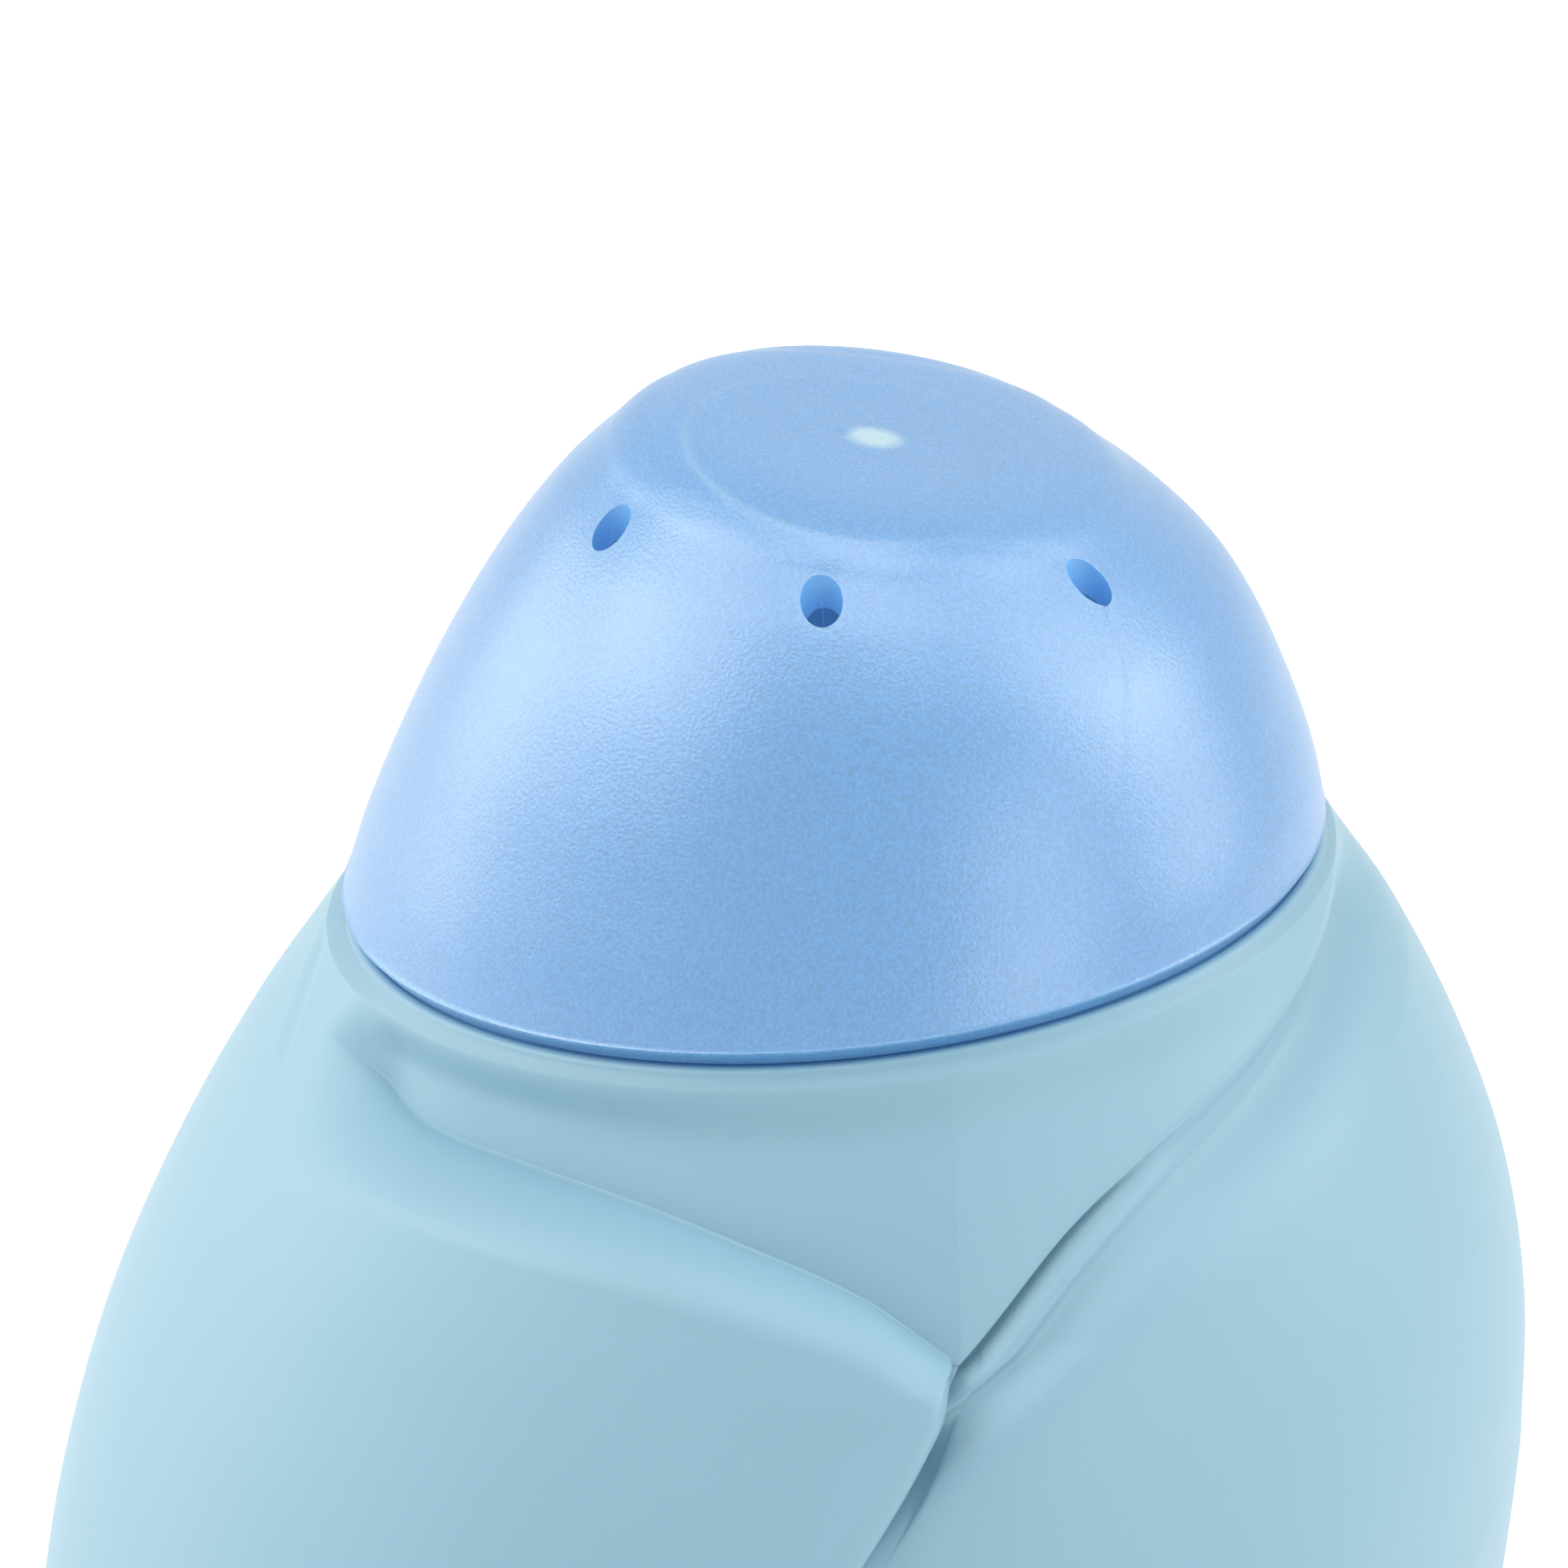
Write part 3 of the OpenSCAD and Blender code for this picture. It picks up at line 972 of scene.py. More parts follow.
    def panel(self, turn: Points, level: Points, below: Points) -> Points:
        """Height of the right panel, with its fold under the chest panel and under the hem.

        Args:
            turn: Direction round the body, before the columns swing with the hem.
            level: Height of the slanted ring's centre.
            below: Distance below the neckline, in mm.

        Returns:
            The height at each point right of the free edge.
        """
        away = turn - self.point_turn
        beside = self.round_way(np.clip(away, 0, None), level)
        plain = curve_through(self.fold_plain, below)
        ridged = curve_through(self.fold_ridged, below)
        fold = mix(plain, ridged, fade_out(away, self.ridge_fade))
        side = fade_out(away, self.ledge_fade)
        start = self.ledge * side - self.chest(turn, level)
        fold = fold * side + start * (1 - ease(below / self.seam_w))
        hem = curve_through(self.hem_valley, beside) * ease(below / self.hem_slot_w)
        valley = np.maximum(fold, hem) + self.valley_overlap * np.minimum(fold, hem)
        height = self.panel_h * fade_out(away, self.panel_fade) * ease(below / self.fold_w)
        across, down = self.panel_start
        height = height * np.maximum(ease(away / across), ease(below / down))
        return (height - valley) * self.above_foot(level)

    def relief(self, turn: Points, level: Points) -> Points:
        """Height of the wrap over the plain body.

        Args:
            turn: Direction round the body, before the columns swing with the hem.
            level: Height of the slanted ring's centre.

        Returns:
            The height at each point.
        """
        away = turn - self.point_turn
        line = self.neckline(turn)
        drop = np.abs(self.neckline(turn + 0.5) - self.neckline(turn - 0.5))
        tilt = np.where(np.abs(away) < self.point_w, 1.0, drop / self.round_way(1.0, level))
        off = (line - level) / np.sqrt(1 + tilt**2)
        chest = self.chest(turn, level)
        ledge = self.ledge * (1 - ease(-off / self.ledge_w))
        ledge = ledge * fade_out(away, self.ledge_fade) * (away > 0)
        wrapped = np.where(away < 0, self.flap(turn, level, off), self.panel(turn, level, off))
        return np.where(level >= line, chest - ledge, wrapped) - self.crease(turn, level)

    def crease(self, turn: Points, level: Points) -> Points:
        """Depth of the soft crease that runs from the rim down the left lobe.

        Args:
            turn: Direction round the body.
            level: Height of the slanted ring's centre.

        Returns:
            The depth at each point.
        """
        depth = self.neck.seam_h - level
        middle = mix(*self.crease_turns, np.clip((depth - 1) / 6, 0, 1))
        across = self.round_way(turn - middle, level)
        along = fade_in(depth, self.crease_in) * fade_out(depth, self.crease_out)
        (dip, dip_w), (swell, swell_w) = self.crease_dip, self.crease_swell
        return (dip * bell(across, dip_w) - swell * bell(across + self.crease_off, swell_w)) * along

    def columns(self, count: int) -> Points:
        """Lays the columns round the body, closest together at the point of the V.

        Args:
            count: How many columns.

        Returns:
            Their directions.
        """
        fine = np.linspace(self.point_turn - 180, self.point_turn + 180, 14401)
        away = np.abs(fine - self.point_turn)
        finest, usual, widest = self.column_gaps
        gaps = finest + usual * fade_in(away, self.beside_point)
        near = 1 / (gaps + widest * fade_in(away, self.at_back))
        total = np.concatenate([[0], np.cumsum((near[1:] + near[:-1]) / 2)])
        steps = (np.arange(count) + 0.5) / count * total[-1]
        return np.interp(steps, total, fine)

    def band_rows(self, turns: Points, count: int) -> list[Points]:
        """Rows of the chest panel, from the rim down to the neckline.

        Args:
            turns: Directions of the columns.
            count: How many rows.

        Returns:
            The rows.
        """
        rows = []
        top = self.neck.seam_h - self.rim_gap - self.lip_h
        for t in 1 - packed_steps(count, self.chest_packing):
            level = mix(top, self.neckline(turns) + self.step_gap, t)
            rows.append(self.place(turns, level, self.relief(turns, level)))
        return rows[::-1]

    def wrap_rows(self, turns: Points, near: int, far: int) -> list[Points]:
        """Rows of the wrap, from the neckline down to the foot.

        Args:
            turns: Directions of the columns.
            near: Rows beside the neckline.
            far: Rows from there down to the foot.

        Returns:
            The rows.
        """
        line = self.neckline(turns) - self.step_gap
        levels = [line - self.near_reach * t for t in packed_steps(near, self.near_packing)]
        for t in np.arange(1, far + 1) / far:
            down = mix(t**self.foot_growth, sind(90 * t), self.foot_bias)
            levels.append((line - self.near_reach) * (1 - down))
        return [
            self.place(turns + self.hem_shift(turns, level), level, self.relief(turns, level))
            for level in levels
        ]

    def lip_rows(self, turns: Points) -> list[Points]:
        """Rows of the rounded rim, the groove, the bore and the pocket for the insert's flange.

        Args:
            turns: Directions of the columns.

        Returns:
            The rows.
        """
        g, w, top = self.groove_r, self.lip_w, -self.rim_gap
        outline = [(g + w, top - 0.5), (g + w - 0.05, top - 0.28), (g + w - 0.2, top - 0.09)]
        outline += [(g + w / 2, top), (g + 0.12, top - 0.02), (g + 0.03, top - 0.08)]
        outline += [(g, top - 0.3)]
        high, low = self.pocket_levels
        r, floor = self.bore_r, -self.groove_depth
        outline += [
            (g, floor + 0.5), (g - 0.05, floor + 0.18), (g - 0.25, floor), (g - 1.5, floor),
            (r + 1.5, floor), (r + 0.3, floor), (r + 0.06, floor - 0.1), (r, floor - 0.35),
            (r, high + 0.05), (r + 0.05, high), (self.pocket_r - 0.05, high),
            (self.pocket_r, high - 0.05), (self.pocket_r, low + 0.05),
            (self.pocket_r - 0.05, low), (r + 0.05, low), (r, low - 0.05), (r, self.bore_end),
        ]
        return self.neck.rim_rows(outline, floor, turns)

    def cavity_rows(self, turns: Points, count: int) -> list[Points]:
        """Rows of the milk space, from under the neck down to its floor.

        Args:
            turns: Directions of the columns.
            count: How many rows lie on its wall.

        Returns:
            The rows.
        """
        floor = self.floor_t + self.foot_rise
        top = self.neck.seam_h + self.bore_end - self.shoulder
        rows = []
        for t in np.linspace(0, 1, count):
            level = mix(top, floor, 1 - (1 - t) ** self.inner_packing)
            wall = self.wall * (1 + self.corner_growth * fade_in(t, self.corner_span))
            rows.append(self.place(turns, level, -wall, 1 - t**6))
        last = rows[-1]
        centre = last.mean(axis=0)
        rows += [mix(last, centre, share) for share in self.floor_shares]
        return rows

    def foot_rows(self, turns: Points) -> list[Points]:
        """Rows of the hollow under the floor and of the ring that the bottle stands on.

        Args:
            turns: Directions of the columns.

        Returns:
            The rows.
        """
        inner = self.foot_r - self.foot_w
        outline = [
            (2.0, self.foot_rise), (inner * 0.5, self.foot_rise), (inner - 1.3, self.foot_rise),
            (inner - 0.9, self.foot_rise - 0.1), (inner - 0.2, 0.12), (inner + 0.1, 0.0),
            (inner + 1.5, 0.0), (self.foot_r - 1.2, 0.0),
        ]
        return [
            np.stack([r * cosd(turns), r * sind(turns), np.full_like(turns, z)], -1)
            for r, z in outline
        ]

    def build(self) -> bpy.types.Object:
        """Makes the body as one closed skin and puts it in the place of the frame's body.

        Returns:
            The body.
        """
        turns = self.columns(how_many(self.column_count))
        rows = self.foot_rows(turns)
        rows += self.wrap_rows(turns, how_many(self.near_rows), how_many(self.far_rows))[::-1]
        rows += self.band_rows(turns, how_many(self.chest_rows))[::-1]
        rows += self.lip_rows(turns)
        rows += self.cavity_rows(turns, self.inner_rows)
        body = loft("silicone_body", rows, self.finish)
        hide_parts("bottle_body")
        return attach(body, "bottle")


# ---- Neck insert, collar and teat ------------------------------------------------------------


@dataclass
class NeckInsert:
    """The rigid insert that stiffens the neck and carries the screw thread."""

    neck: Neck
    finish: Finish = INSERT_CLEAR
    thread: Thread = Thread(root_r=20.2, height=0.75, low=-0.9, turns=1.15, lead=4.0)

    def build(self) -> bpy.types.Object:
        """Dresses the frame's insert and adds its thread.

        Returns:
            The thread.
        """
        frame["nodes"]["neck_insert"].data.materials[0] = self.finish.material()
        thread = self.thread.ridge("insert_thread", self.neck, self.finish)
        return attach(thread, "bottle")


@dataclass
class Collar:
    """The screw collar with its grip ribs and its inner thread."""

    neck: Neck
    finish: Finish = COLLAR_WHITE
    bore_r: float = 21.4
    wall_r: float = 24.2
    foot: float = -2.5
    under: float = 6.1
    top: float = 7.7
    hole_r: float = 15.0
    bead_level: float = 1.6
    bead_h: float = 0.6
    ribs: int = 30
    rib_h: float = 0.5
    points_a_rib: int = 24
    rib_steps: tuple[float, ...] = (0.08, 0.16, 0.5, 0.84, 0.92)
    rib_form: Pair = (1.6, 0.2)  # steepness of its sides, and how much wider than its gap
    rib_ends: float = 0.35
    corner: float = 0.35
    thread: Thread = Thread(root_r=21.4, height=-0.7, low=-1.0, turns=0.9, lead=4.0, phase=180.0)

    def section(self) -> list[Pair]:
        """Draws the collar's section.

        Returns:
            (radius, level) points with softened corners.
        """
        w = self.wall_r
        corners = [
            (self.bore_r, self.foot), (w, self.foot), (w, self.bead_level - self.bead_h),
            (w + self.bead_h, self.bead_level), (w, self.bead_level + self.bead_h),
            (w - 0.6, self.under - 2), (w - 1.5, self.top - 1.1), (w - 2.3, self.top),
            (self.hole_r, self.top), (self.hole_r, self.under), (self.bore_r, self.under),
        ]
        return rounded(corners, self.corner)

    def build(self) -> bpy.types.Object:
        """Makes the collar with its ribs and its thread.

        Returns:
            The collar.
        """
        turns = turns_round(how_many(self.ribs * self.points_a_rib))
        low, high = self.bead_level + self.bead_h + 0.15, self.under - 2.2
        outline = self.section()
        steep, wide = self.rib_form
        rib = np.clip(cosd(turns * self.ribs) * steep + wide, 0, 1)
        rows = []
        for (r, level), (next_r, next_level) in zip(outline, outline[1:] + outline[:1]):
            on_wall = r > self.wall_r - 1.2 and low - 0.05 <= level <= high + 0.4
            out = self.rib_h * rib if on_wall else 0.0
            rows.append(self.neck.place(r + out, level, turns))
            starts_ribs = r > self.wall_r - 0.7 and level < low + 0.5
            ends_ribs = next_r > self.wall_r - 1.2 and next_level > high - 1
            for t in self.rib_steps if starts_ribs and ends_ribs else ():
                out = self.rib_h * rib * math.sin(math.pi * t) ** self.rib_ends
                between = self.neck.place(mix(r, next_r, t) + out, mix(level, next_level, t), turns)
                rows.append(between)
        collar = loft("screw_collar", rows, self.finish, closed_ends=False)
        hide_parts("collar")
        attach(collar, "collar")
        thread = self.thread.ridge("collar_thread", self.neck, self.finish)
        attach(thread, "collar")
        return collar


@dataclass
class Teat:
    """The soft teat with its sealing flange, its dome and its feeding hole."""

    neck: Neck
    finish: Finish = TEAT_SILICONE
    seat: float = 4.7
    flange_t: float = 1.3
    flange_r: float = 21.1
    collar_top: float = 7.7
    throat_r: float = 14.7
    ridge_r: float = 15.9
    nipple_r: float = 5.6
    tip: float = 22.6
    crown_drop: float = 8.0
    dome_fullness: float = 1.25
    waist: Stations = ((0.2, 7.4), (0.5, 6.2), (0.35, 5.0), (0.08, 4.1))
    tip_h: float = 3.4
    wall: float = 1.6
    hole_r: float = 0.35
    corner: float = 0.15
    dome_points: int = 18

    def dome(self, inset: float, count: int) -> list[Pair]:
        """Outline of the dome from its ridge up to the nipple's waist.

        Args:
            inset: How far inside the outer face the outline lies.
            count: Points along it.

        Returns:
            (radius, level) points.
        """
        foot, crown = self.collar_top + 1.0, self.tip - self.crown_drop
        points = []
        for t in np.linspace(0.02, 1, count):
            r = mix(self.nipple_r + 0.3, self.ridge_r, cosd(90 * t) ** self.dome_fullness)
            points.append((r - inset, mix(foot, crown, sind(90 * t)) - inset * float(t)))
        return points

    def nipple(self, inset: float) -> list[Pair]:
        """Outline of the nipple from its waist up to the feeding hole.

        Args:
            inset: How far inside the outer face the outline lies.

        Returns:
            (radius, level) points.
        """
        r, h = self.nipple_r, self.tip_h
        points = [(r - pinch - inset, self.tip - down) for pinch, down in self.waist]
        for a in np.linspace(0, 84, 12):
            points.append(((r - inset) * cosd(a), self.tip - h + (h - inset * 0.8) * sind(a)))
        return [(max(self.hole_r, x), y) for x, y in points]

    def build(self) -> bpy.types.Object:
        """Makes the teat.

        Returns:
            The teat.
        """
        flange_top, above = self.seat + self.flange_t, self.collar_top
        outside = [(self.flange_r, self.seat), (self.flange_r, flange_top)]
        outside += [(self.throat_r, flange_top), (self.throat_r, above + 0.15)]
        outside += [(self.ridge_r, above + 0.35), (self.ridge_r + 0.15, above + 0.9)]
        outside = rounded(outside, self.corner)[:-3]
        outside += self.dome(0, self.dome_points) + self.nipple(0)
        inside = [(self.hole_r, self.tip - 0.03), (self.hole_r, self.tip - self.wall)]
        inside += self.nipple(self.wall)[::-1] + self.dome(self.wall, self.dome_points)[::-1]
        inner_r = self.throat_r - self.wall
        inside += [(inner_r, above - 1), (inner_r, self.seat)]
        teat = revolve("feeding_teat", self.neck, outside + inside, self.finish)
        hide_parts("teat")
        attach(teat, "teat")
        return teat


# ---- The cap ---------------------------------------------------------------------------------


@dataclass
class DomeCap:
    """The frosted cap with its level top, its five vents and its skirt."""

    neck: Neck
    finish: Finish = FROSTED_BLUE
    # the inner finish, with a painted glow, for the inner faces, the skirt and the vents
    inside: Finish = FROSTED_INSIDE_PAINTED_GLOW
    rim_r: float = 28.5
    rise: float = 26.5
    wall: float = 1.5
    skirt_r: float = 27.4
    skirt_start: float = -0.9
    chamfer: float = 0.85
    snap_r: float = 25.1
    foot: float = -2.5
    top_flatness: float = 7.5
    vent_d: float = 2.4
    vent_r: float = 16.6
    vent_level: float = 23.2
    vent_turns: tuple[float, ...] = (-149.0, -97.0, -39.0, 48.0, 137.0)
    vent_reach: float = 7.0
    vent_points: int = 64
    column_count: int = 480
    inner_rows: tuple[int, int] = (24, 30)
    outer_rows: tuple[int, int] = (90, 80)
    gate: Pair = (0.2, -1.2)
    gate_span: Span = (0.8, 1.3)
    gate_h: Pair = (0.05, 0.06)  # height and roughness
    gate_oval: float = 1.15
    dimple: Pair = (-1.5, -0.9)
    dimple_depth: Pair = (0.2, 0.38)  # depth and width, as for the marks below
    witness: tuple[float, float, float] = (-0.4, -3.4, 10.2)  # middle and radius
    witness_h: Pair = (0.06, 0.24)
    witness_middle: Pair = (218.0, 38.0)  # where it is clearest, and how far round from there
    witness_faint: float = 0.15
    crease_depth: Pair = (0.05, 0.6)
    corner_share: float = 0.94
    mark_span: Span = (0.3, 0.2)
    weld_depth: Pair = (0.09, 0.28)
    weld: Stations = (
        (13.2, -9.6), (14.4, -12.0), (15.2, -14.4), (15.6, -17.6), (14.9, -21.3), (14.2, -23.0),
    )
    mark_and_glint_height: float = 0.6  # share of the rise above which the gate's scar and the glint are painted
    mark_and_glint_shares: Pair = (0.8, 0.22)  # how far the gate's scar is paled, and how bright the painted glint on the witness line is
    sharp_angle: float = 38.0
    form: Stations = (
        (0, 1), (0.145, 0.966), (0.32, 0.907), (0.495, 0.836), (0.66, 0.75), (0.805, 0.644),
        (0.91, 0.541),
    )
    lean: Stations = ((0, 10.2), (0.33, 8.16), (0.65, 5.1), (1, -2.856))

    def stations(self, sides: int, crown: int) -> list[Pair]:
        """Lists the rings of the cap, from its rim to the middle of its top.

        Args:
            sides: How many rings stand up the sides.
            crown: How many steps lead over the top.

        Returns:
            (share of the height, share of the radius) of each ring.
        """
        high, narrow = self.form[-1]
        out = []
        for k in range(1, sides + 1):
            t = high * k / sides
            out.append((t, float(curve_through(self.form, t))))
        for k in range(1, crown):
            share = 1 - k / crown
            out.append((mix(1, high, share**self.top_flatness), narrow * share))
        return out

    def ring(self, station: Pair, r: float, h: float, turns: Points, marks: bool) -> Points:
        """Places one ring of the cap.

        Args:
            station: Share of the height, and share of the radius.
            r: Radius of the cap's rim.
            h: Height of the cap's top above the seam's centre.
            turns: Directions of the points.
            marks: Whether the mould's marks are on it.

        Returns:
            The points in mm.
        """
        height, share = station
        lean = math.tan(math.radians(float(curve_through(self.lean, height))))
        across = share * r * cosd(self.neck.lean) * cosd(turns)
        y = share * r * sind(turns)
        z = self.neck.seam_h + height * h + across * lean
        if marks:
            z = z + self.top_marks(across, y) * fade_in(height, self.mark_span)
        return self.neck.tip(np.stack([across, y, z], -1), height * h + 0 * z)

    def top_marks(self, x: Points, y: Points) -> Points:
        """Height of the mould's marks on the cap.

        Args:
            x: The points' x.
            y: The points' y.

        Returns:
            The height of a gate, a dimple, a witness ring, faint creases and a weld line.
        """
        rough = np.sin(x * 9.1 + 2 * np.sin(y * 7.3)) * np.sin(y * 8.7 + np.sin(x * 5.9))
        marks = (self.gate_h[0] + self.gate_h[1] * rough) * self.gate_share(x, y)
        depth, width = self.dimple_depth
        marks = marks - depth * bell(np.hypot(x - self.dimple[0], y - self.dimple[1]), width)
        marks = marks + self.witness_h[0] * self.witness_share(x, y)
        r, share = self.vent_r, self.corner_share
        corners = [(r * cosd(a) * share, r * sind(a) * share) for a in self.vent_turns]
        depth, width = self.crease_depth
        for a, b in zip(corners, corners[1:] + corners[:1]):
            marks = marks - depth * bell(self.off_line(x, y, a, b), width)
        stretches = zip(self.weld, self.weld[1:])
        near_weld = np.min([self.off_line(x, y, a, b) for a, b in stretches], axis=0)
        depth, width = self.weld_depth
        return marks - depth * bell(near_weld, width)

    def gate_share(self, x: Points, y: Points) -> Points:
        """How much of the gate's scar lies at a place, seen from above."""
        off = np.hypot(x - self.gate[0], self.gate_oval * (y - self.gate[1]))
        return fade_out(off, self.gate_span)

    def witness_share(self, x: Points, y: Points) -> Points:
        """Finds the mould insert's witness line, seen from above.

        Args:
            x: The points' x.
            y: The points' y.

        Returns:
            How much of the line lies at each point.
        """
        cx, cy, r = self.witness
        turn = (np.degrees(np.arctan2(y - cy, x - cx)) + FULL_TURN) % FULL_TURN
        clearest, reach = self.witness_middle
        seen = self.witness_faint + (1 - self.witness_faint) * bell(turn - clearest, reach)
        return seen * bell(np.hypot(x - cx, y - cy) - r, self.witness_h[1])

    def paint_marks_and_glints(self, cap: bpy.types.Object) -> None:
        """Writes the gate's scar and a painted glint along the witness line onto the mesh, for the
        finish to pale.

        Args:
            cap: The cap's shell.
        """
        at = np.empty(len(cap.data.vertices) * 3, np.float32)
        cap.data.vertices.foreach_get("co", at)
        x, y, z = (at.reshape(-1, 3) / MM).T
        gate, witness = self.mark_and_glint_shares
        share = gate * self.gate_share(x, y) + witness * self.witness_share(x, y)
        share *= z > self.neck.seam_h + self.mark_and_glint_height * self.rise
        mark_and_glint = cap.data.attributes.new("mark_and_glint", "FLOAT", "POINT")
        mark_and_glint.data.foreach_set("value", np.clip(share, 0, 1).astype(np.float32))

    def line_inside(self, cap: bpy.types.Object) -> None:
        """Gives the inner faces and the skirt the inner finish, whose painted glow stands in for
        light through the frosted plastic.

        Args:
            cap: The cap's shell.
        """
        cap.data.materials.append(self.inside.material())
        middle = Vector((0, 0, self.neck.seam_h * MM))
        up = Vector(self.neck.axis)
        glowing_faces = []
        for face in cap.data.polygons:
            off = face.center - middle
            glowing_faces.append(face.normal.dot(off) < 0 or off.dot(up) < self.skirt_start * MM)
        cap.data.polygons.foreach_set("material_index", np.array(glowing_faces, np.int32))

    @staticmethod
    def off_line(x: Points, y: Points, a: Pair, b: Pair) -> Points:
        """Distance of points from a straight stretch, seen from above.

        Args:
            x: The points' x.
            y: The points' y.
            a: Start of the stretch.
            b: End of the stretch.

        Returns:
            The distance of each point.
        """
        run = np.array([b[0] - a[0], b[1] - a[1]])
        t = np.clip(((x - a[0]) * run[0] + (y - a[1]) * run[1]) / (run @ run), 0, 1)
        return np.hypot(x - a[0] - t * run[0], y - a[1] - t * run[1])

    def shell(self) -> bpy.types.Object:
        """Makes the cap's shell without its vents.

        Returns:
            The shell.
        """
        turns = turns_round(how_many(self.column_count))
        inner_r, inner_h = self.rim_r - self.wall, self.rise - self.wall
        inner = self.stations(*self.inner_rows)[::-1]
        rows = [self.ring(station, inner_r, inner_h, turns, False) for station in inner]
        snap, skirt, rim = self.snap_r, self.skirt_r, self.rim_r
        foot, edge = self.foot, -self.chamfer
        profile = [
            (inner_r - 0.05, 1.0), (snap + 0.1, 0.6), (snap, 0.4), (snap, foot + 0.4),
            (snap + 0.1, foot + 0.12), (snap + 0.35, foot), (skirt - 0.35, foot),
            (skirt - 0.1, foot + 0.12), (skirt, foot + 0.4), (skirt, edge - 0.2),
            (skirt + 0.08, edge - 0.06), (skirt + 0.35, edge + 0.04), (skirt + 0.5, edge + 0.16),
            (rim - 0.3, -0.2), (rim - 0.12, -0.04), (rim - 0.03, 0.06), (rim, 0.2),
        ]
        rows += self.neck.rim_rows(profile, foot, turns)
        outer = self.stations(*map(how_many, self.outer_rows))
        rows += [self.ring(station, self.rim_r, self.rise, turns, True) for station in outer]
        return loft("dome_cap", rows, self.finish)

    def vent_drill(self, turn: float) -> bpy.types.Object:
        """Makes the drill of one vent, parallel to the neck axis, as a mould pin leaves it.

        Args:
            turn: Direction of the vent from the neck's middle.

        Returns:
            The drill, whose faces carry the inner finish with its painted glow.
        """
        r, reach = self.vent_d / 2, self.vent_reach
        side = np.array([0.0, 1.0, 0.0])
        across = np.cross(side, self.neck.axis)
        x, y = self.vent_r * cosd(turn), self.vent_r * sind(turn)
        middle = np.array([x, y, self.neck.seam_h + self.vent_level])
        steps = turns_round(self.vent_points)
        circle = np.outer(cosd(steps), across) + np.outer(sind(steps), side)
        rows = [
            middle + self.neck.axis * level + radius * circle
            for radius, level in ((0.01, -reach), (r, -reach), (r, reach), (0.01, reach))
        ]
        drill = loft(f"vent_drill_{int(turn) % 360}", rows, self.finish, closed_ends=False)
        drill.data.materials.append(self.inside.material())
        faces = drill.data.polygons
        faces.foreach_set("material_index", np.ones(len(faces), np.int32))
        return drill

    def build(self) -> bpy.types.Object:
        """Makes the cap, drills its vents and puts it in the place of the frame's cap.

        Returns:
            The cap.
        """
        cap = self.shell()
        self.line_inside(cap)
        self.paint_marks_and_glints(cap)
        drills = [self.vent_drill(turn) for turn in self.vent_turns]
        for drill in drills:
            cut = cap.modifiers.new(drill.name, "BOOLEAN")
            cut.object, cut.operation, cut.solver = drill, "DIFFERENCE", "EXACT"
        apply_modifiers(cap)
        for drill in drills:
            bpy.data.objects.remove(drill)
        cap.data.shade_smooth()
        cap.data.set_sharp_from_angle(angle=math.radians(self.sharp_angle))
        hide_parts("cap")
        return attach(cap, "cap")


# ---- Studio ----------------------------------------------------------------------------------


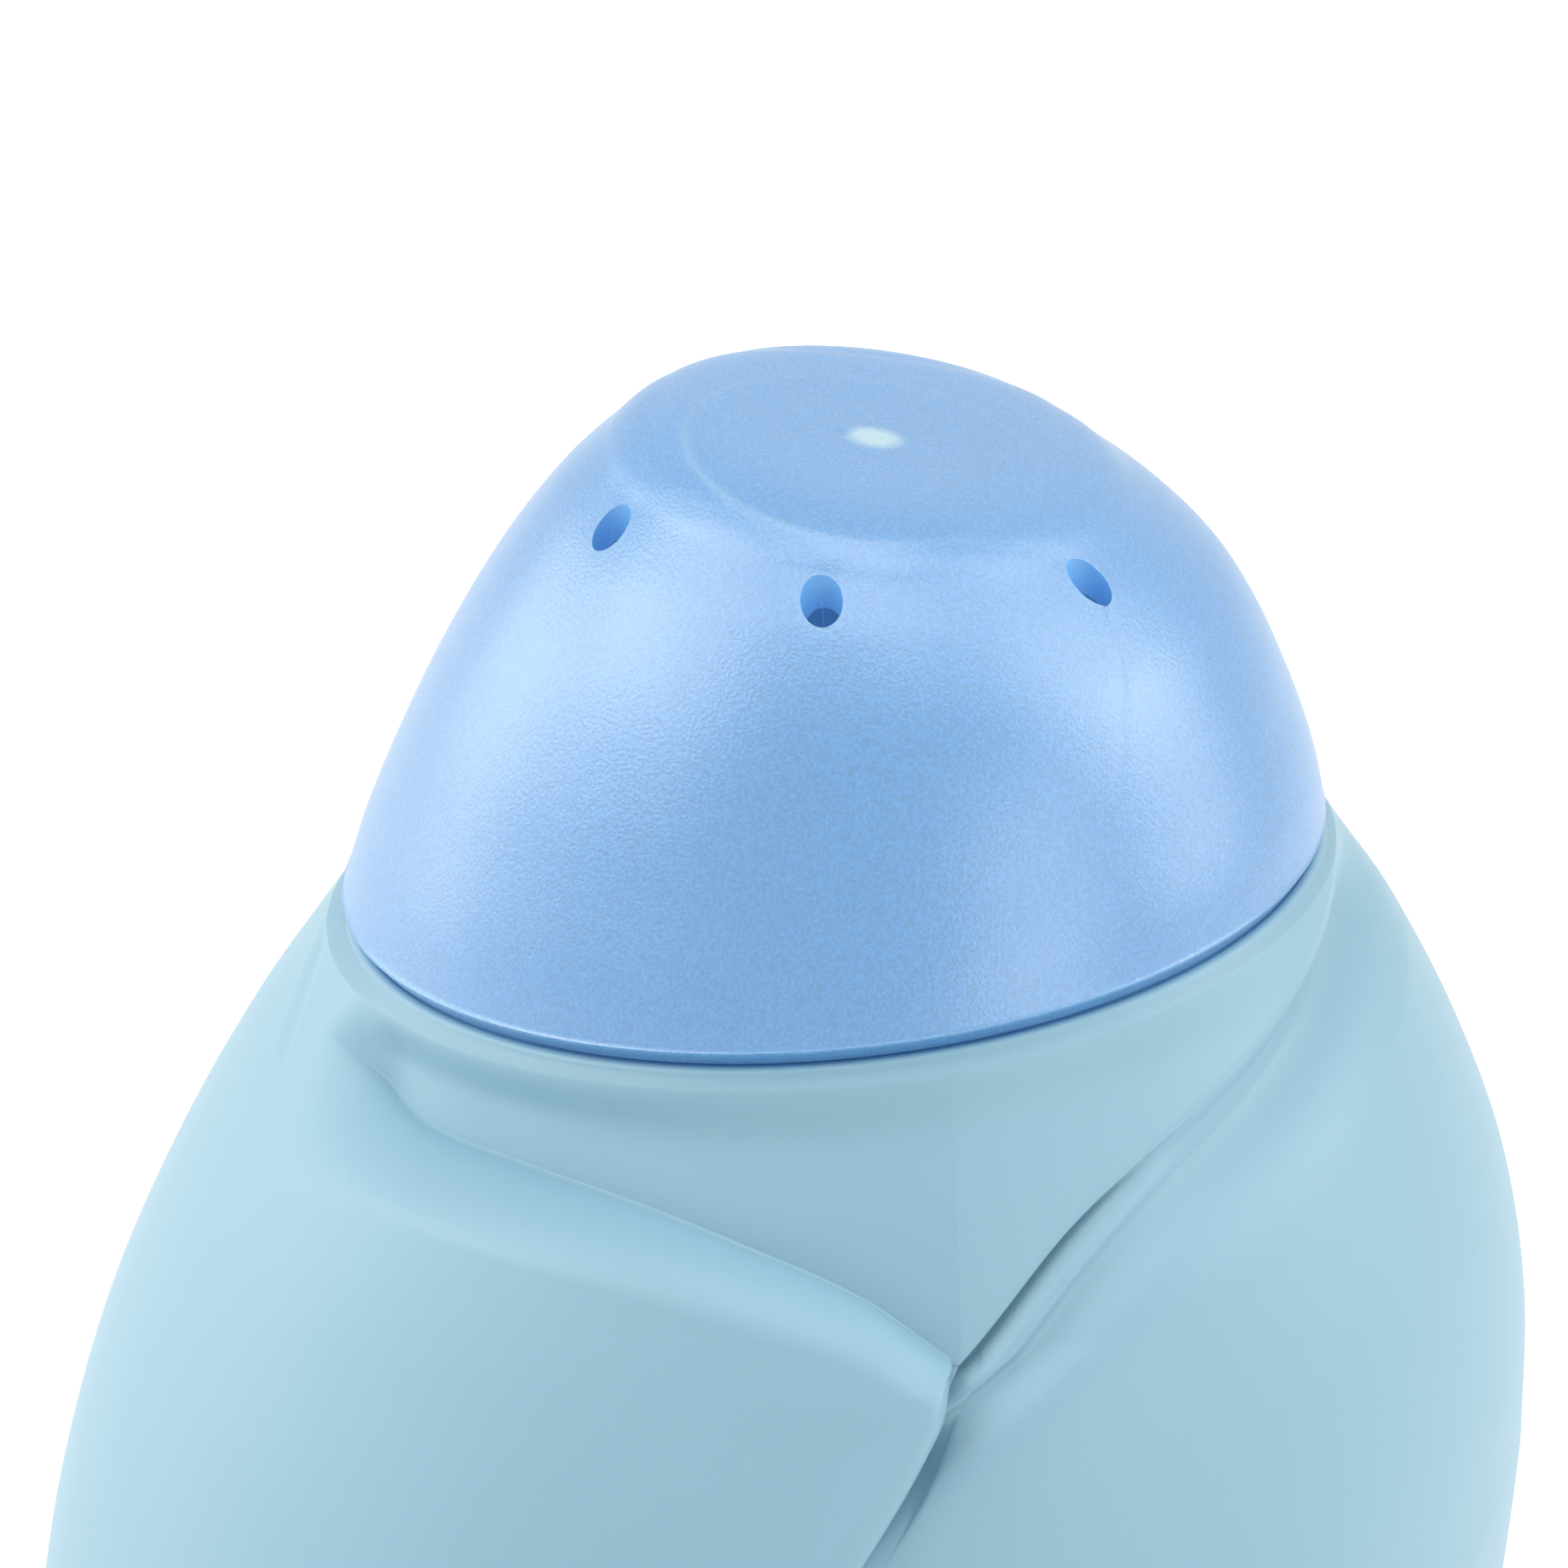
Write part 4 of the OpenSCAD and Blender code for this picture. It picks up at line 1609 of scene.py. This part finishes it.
@dataclass(frozen=True)
class Studio:
    """The pale floor, the soft lights and the camera."""

    target: tuple[float, float, float] = (0.0, 0.0, 0.080)
    distance: float = 0.851
    elevation: float = 25.03
    roll: float = 5.1
    lens: float = 339.0
    sensor: float = 36.0
    clip: Pair = (0.05, 20.0)
    pan: tuple[float, float] = (-0.002845, 0.003728)
    middle: float = 0.055
    lamp_distance: float = 0.9
    fill: float = 0.36
    paper: float = 0.9
    paper_lift: float = 0.6
    floor_reach: float = 3.0
    boxes: tuple[tuple[str, float, float, float, float], ...] = (
        ("left_back_box", 155, 3, 0.5, 1.9),
        ("left_side_box", 178, 22, 0.5, 1.25),
        ("left_high_box", 195, 42, 0.7, 1.65),
        ("right_side_box", 5, 20, 0.5, 1.4),
        ("right_high_box", 5, 45, 0.7, 1.05),
        ("right_front_box", 345, 42, 0.5, 0.5),
        ("front_low_box", 315, 12, 0.5, 1.2),
        ("top_box", 270, 80, 0.6, 1.5),
    )

    def camera(self) -> None:
        """Sets the camera at the object's usual viewing angle."""
        e, roll = math.radians(self.elevation), math.radians(self.roll)
        back = Vector((0, -math.cos(e), math.sin(e)))
        right, up = Vector((1, 0, 0)), Vector((0, math.sin(e), math.cos(e)))
        across = right * math.cos(roll) + up * math.sin(roll)
        above = up * math.cos(roll) - right * math.sin(roll)
        data = bpy.data.cameras.new("camera")
        data.lens, data.sensor_width, data.sensor_fit = self.lens, self.sensor, "HORIZONTAL"
        data.clip_start, data.clip_end = self.clip
        made = bpy.data.objects.new("camera", data)
        place = Vector(self.target) + back * self.distance
        place = place + across * self.pan[0] + above * self.pan[1]
        columns = [(*side, 0) for side in (across, above, back)] + [(*place, 1)]
        made.matrix_world = Matrix(columns).transposed()
        bpy.context.scene.collection.objects.link(made)
        bpy.context.scene.camera = made

    def soft_box(self, name: str, turn: float, rise: float, size: float, brightness: float) -> None:
        """Adds one square soft box that faces the bottle.

        Args:
            name: The lamp's name.
            turn: Its direction round the bottle, in degrees from +X.
            rise: Its angle above the floor, in degrees.
            size: Its side, in metres.
            brightness: How bright its face looks, where 1 is white paper in full light.
        """
        data = bpy.data.lights.new(name, "AREA")
        data.shape, data.size, data.size_y = "RECTANGLE", size, size
        data.energy = math.pi * size * size * brightness
        lamp = bpy.data.objects.new(name, data)
        way = Vector((cosd(rise) * cosd(turn), cosd(rise) * sind(turn), sind(rise)))
        lamp.location = Vector((0, 0, self.middle)) + self.lamp_distance * way
        lamp.rotation_euler = way.to_track_quat("Z", "Y").to_euler()
        bpy.context.scene.collection.objects.link(lamp)

    def seen_share(self, tree: bpy.types.NodeTree) -> bpy.types.NodeSocket:
        """Tells rays that show the background from rays that only light the bottle.

        Args:
            tree: The node tree.

        Returns:
            1 where a ray comes from the camera, a glossy surface or a clear piece, and 0 elsewhere.
        """
        path = add_node(tree, "LightPath").outputs
        share = path["Is Camera Ray"]
        for kind in ("Is Glossy Ray", "Is Transmission Ray"):
            either = add_node(tree, "Math", {0: share, 1: path[kind]}, operation="MAXIMUM")
            share = either.outputs[0]
        return share

    def world(self) -> None:
        """Makes a world that lights the bottle gently and is seen as white."""
        world = bpy.data.worlds.new("studio")
        bpy.context.scene.world = world
        world.use_nodes = True
        tree = world.node_tree
        tree.nodes.clear()
        fill, seen = (
            add_node(tree, "Background", {"Color": (1, 1, 1, 1), "Strength": strength}).outputs[0]
            for strength in (self.fill, 1.0)
        )
        blend = add_node(tree, "MixShader", {0: self.seen_share(tree), 1: fill, 2: seen})
        add_node(tree, "OutputWorld", {"Surface": blend.outputs[0]})

    def floor(self) -> None:
        """Makes the pale floor, which keeps the bottle's shadow."""
        work = bmesh.new()
        bmesh.ops.create_grid(work, x_segments=8, y_segments=8, size=self.floor_reach)
        mesh = bpy.data.meshes.new("floor")
        work.to_mesh(mesh)
        work.free()
        made = bpy.data.materials.new("floor_paper")
        made.use_nodes = True
        tree = made.node_tree
        shader = tree.nodes["Principled BSDF"]
        values = {0: self.seen_share(tree), 1: self.paper_lift}
        lift = add_node(tree, "Math", values, operation="MULTIPLY")
        fill_inputs(tree, shader, {
            "Base Color": (self.paper, self.paper, self.paper, 1),
            "Roughness": 0.9,
            "Specular IOR Level": 0.1,
            "Emission Color": (1, 1, 1, 1),
            "Emission Strength": lift.outputs[0],
        })
        mesh.materials.append(made)
        floor = bpy.data.objects.new("floor", mesh)
        bpy.context.scene.collection.objects.link(floor)

    def build(self) -> None:
        """Sets up the whole studio."""
        self.floor()
        self.world()
        for box in self.boxes:
            self.soft_box(*box)
        self.camera()
        bpy.context.scene.view_settings.view_transform = "Standard"


def main() -> None:
    """Builds every piece in turn."""
    logging.basicConfig(level=logging.INFO, format="%(name)s: %(message)s")
    neck = Neck.from_frame()
    for part in (SiliconeBody(neck), NeckInsert(neck), Collar(neck), Teat(neck), DomeCap(neck)):
        piece = part.build()
        log.info("%s made: %d vertices", piece.name, len(piece.data.vertices))
    Studio().build()


if __name__ == "__main__":
    main()
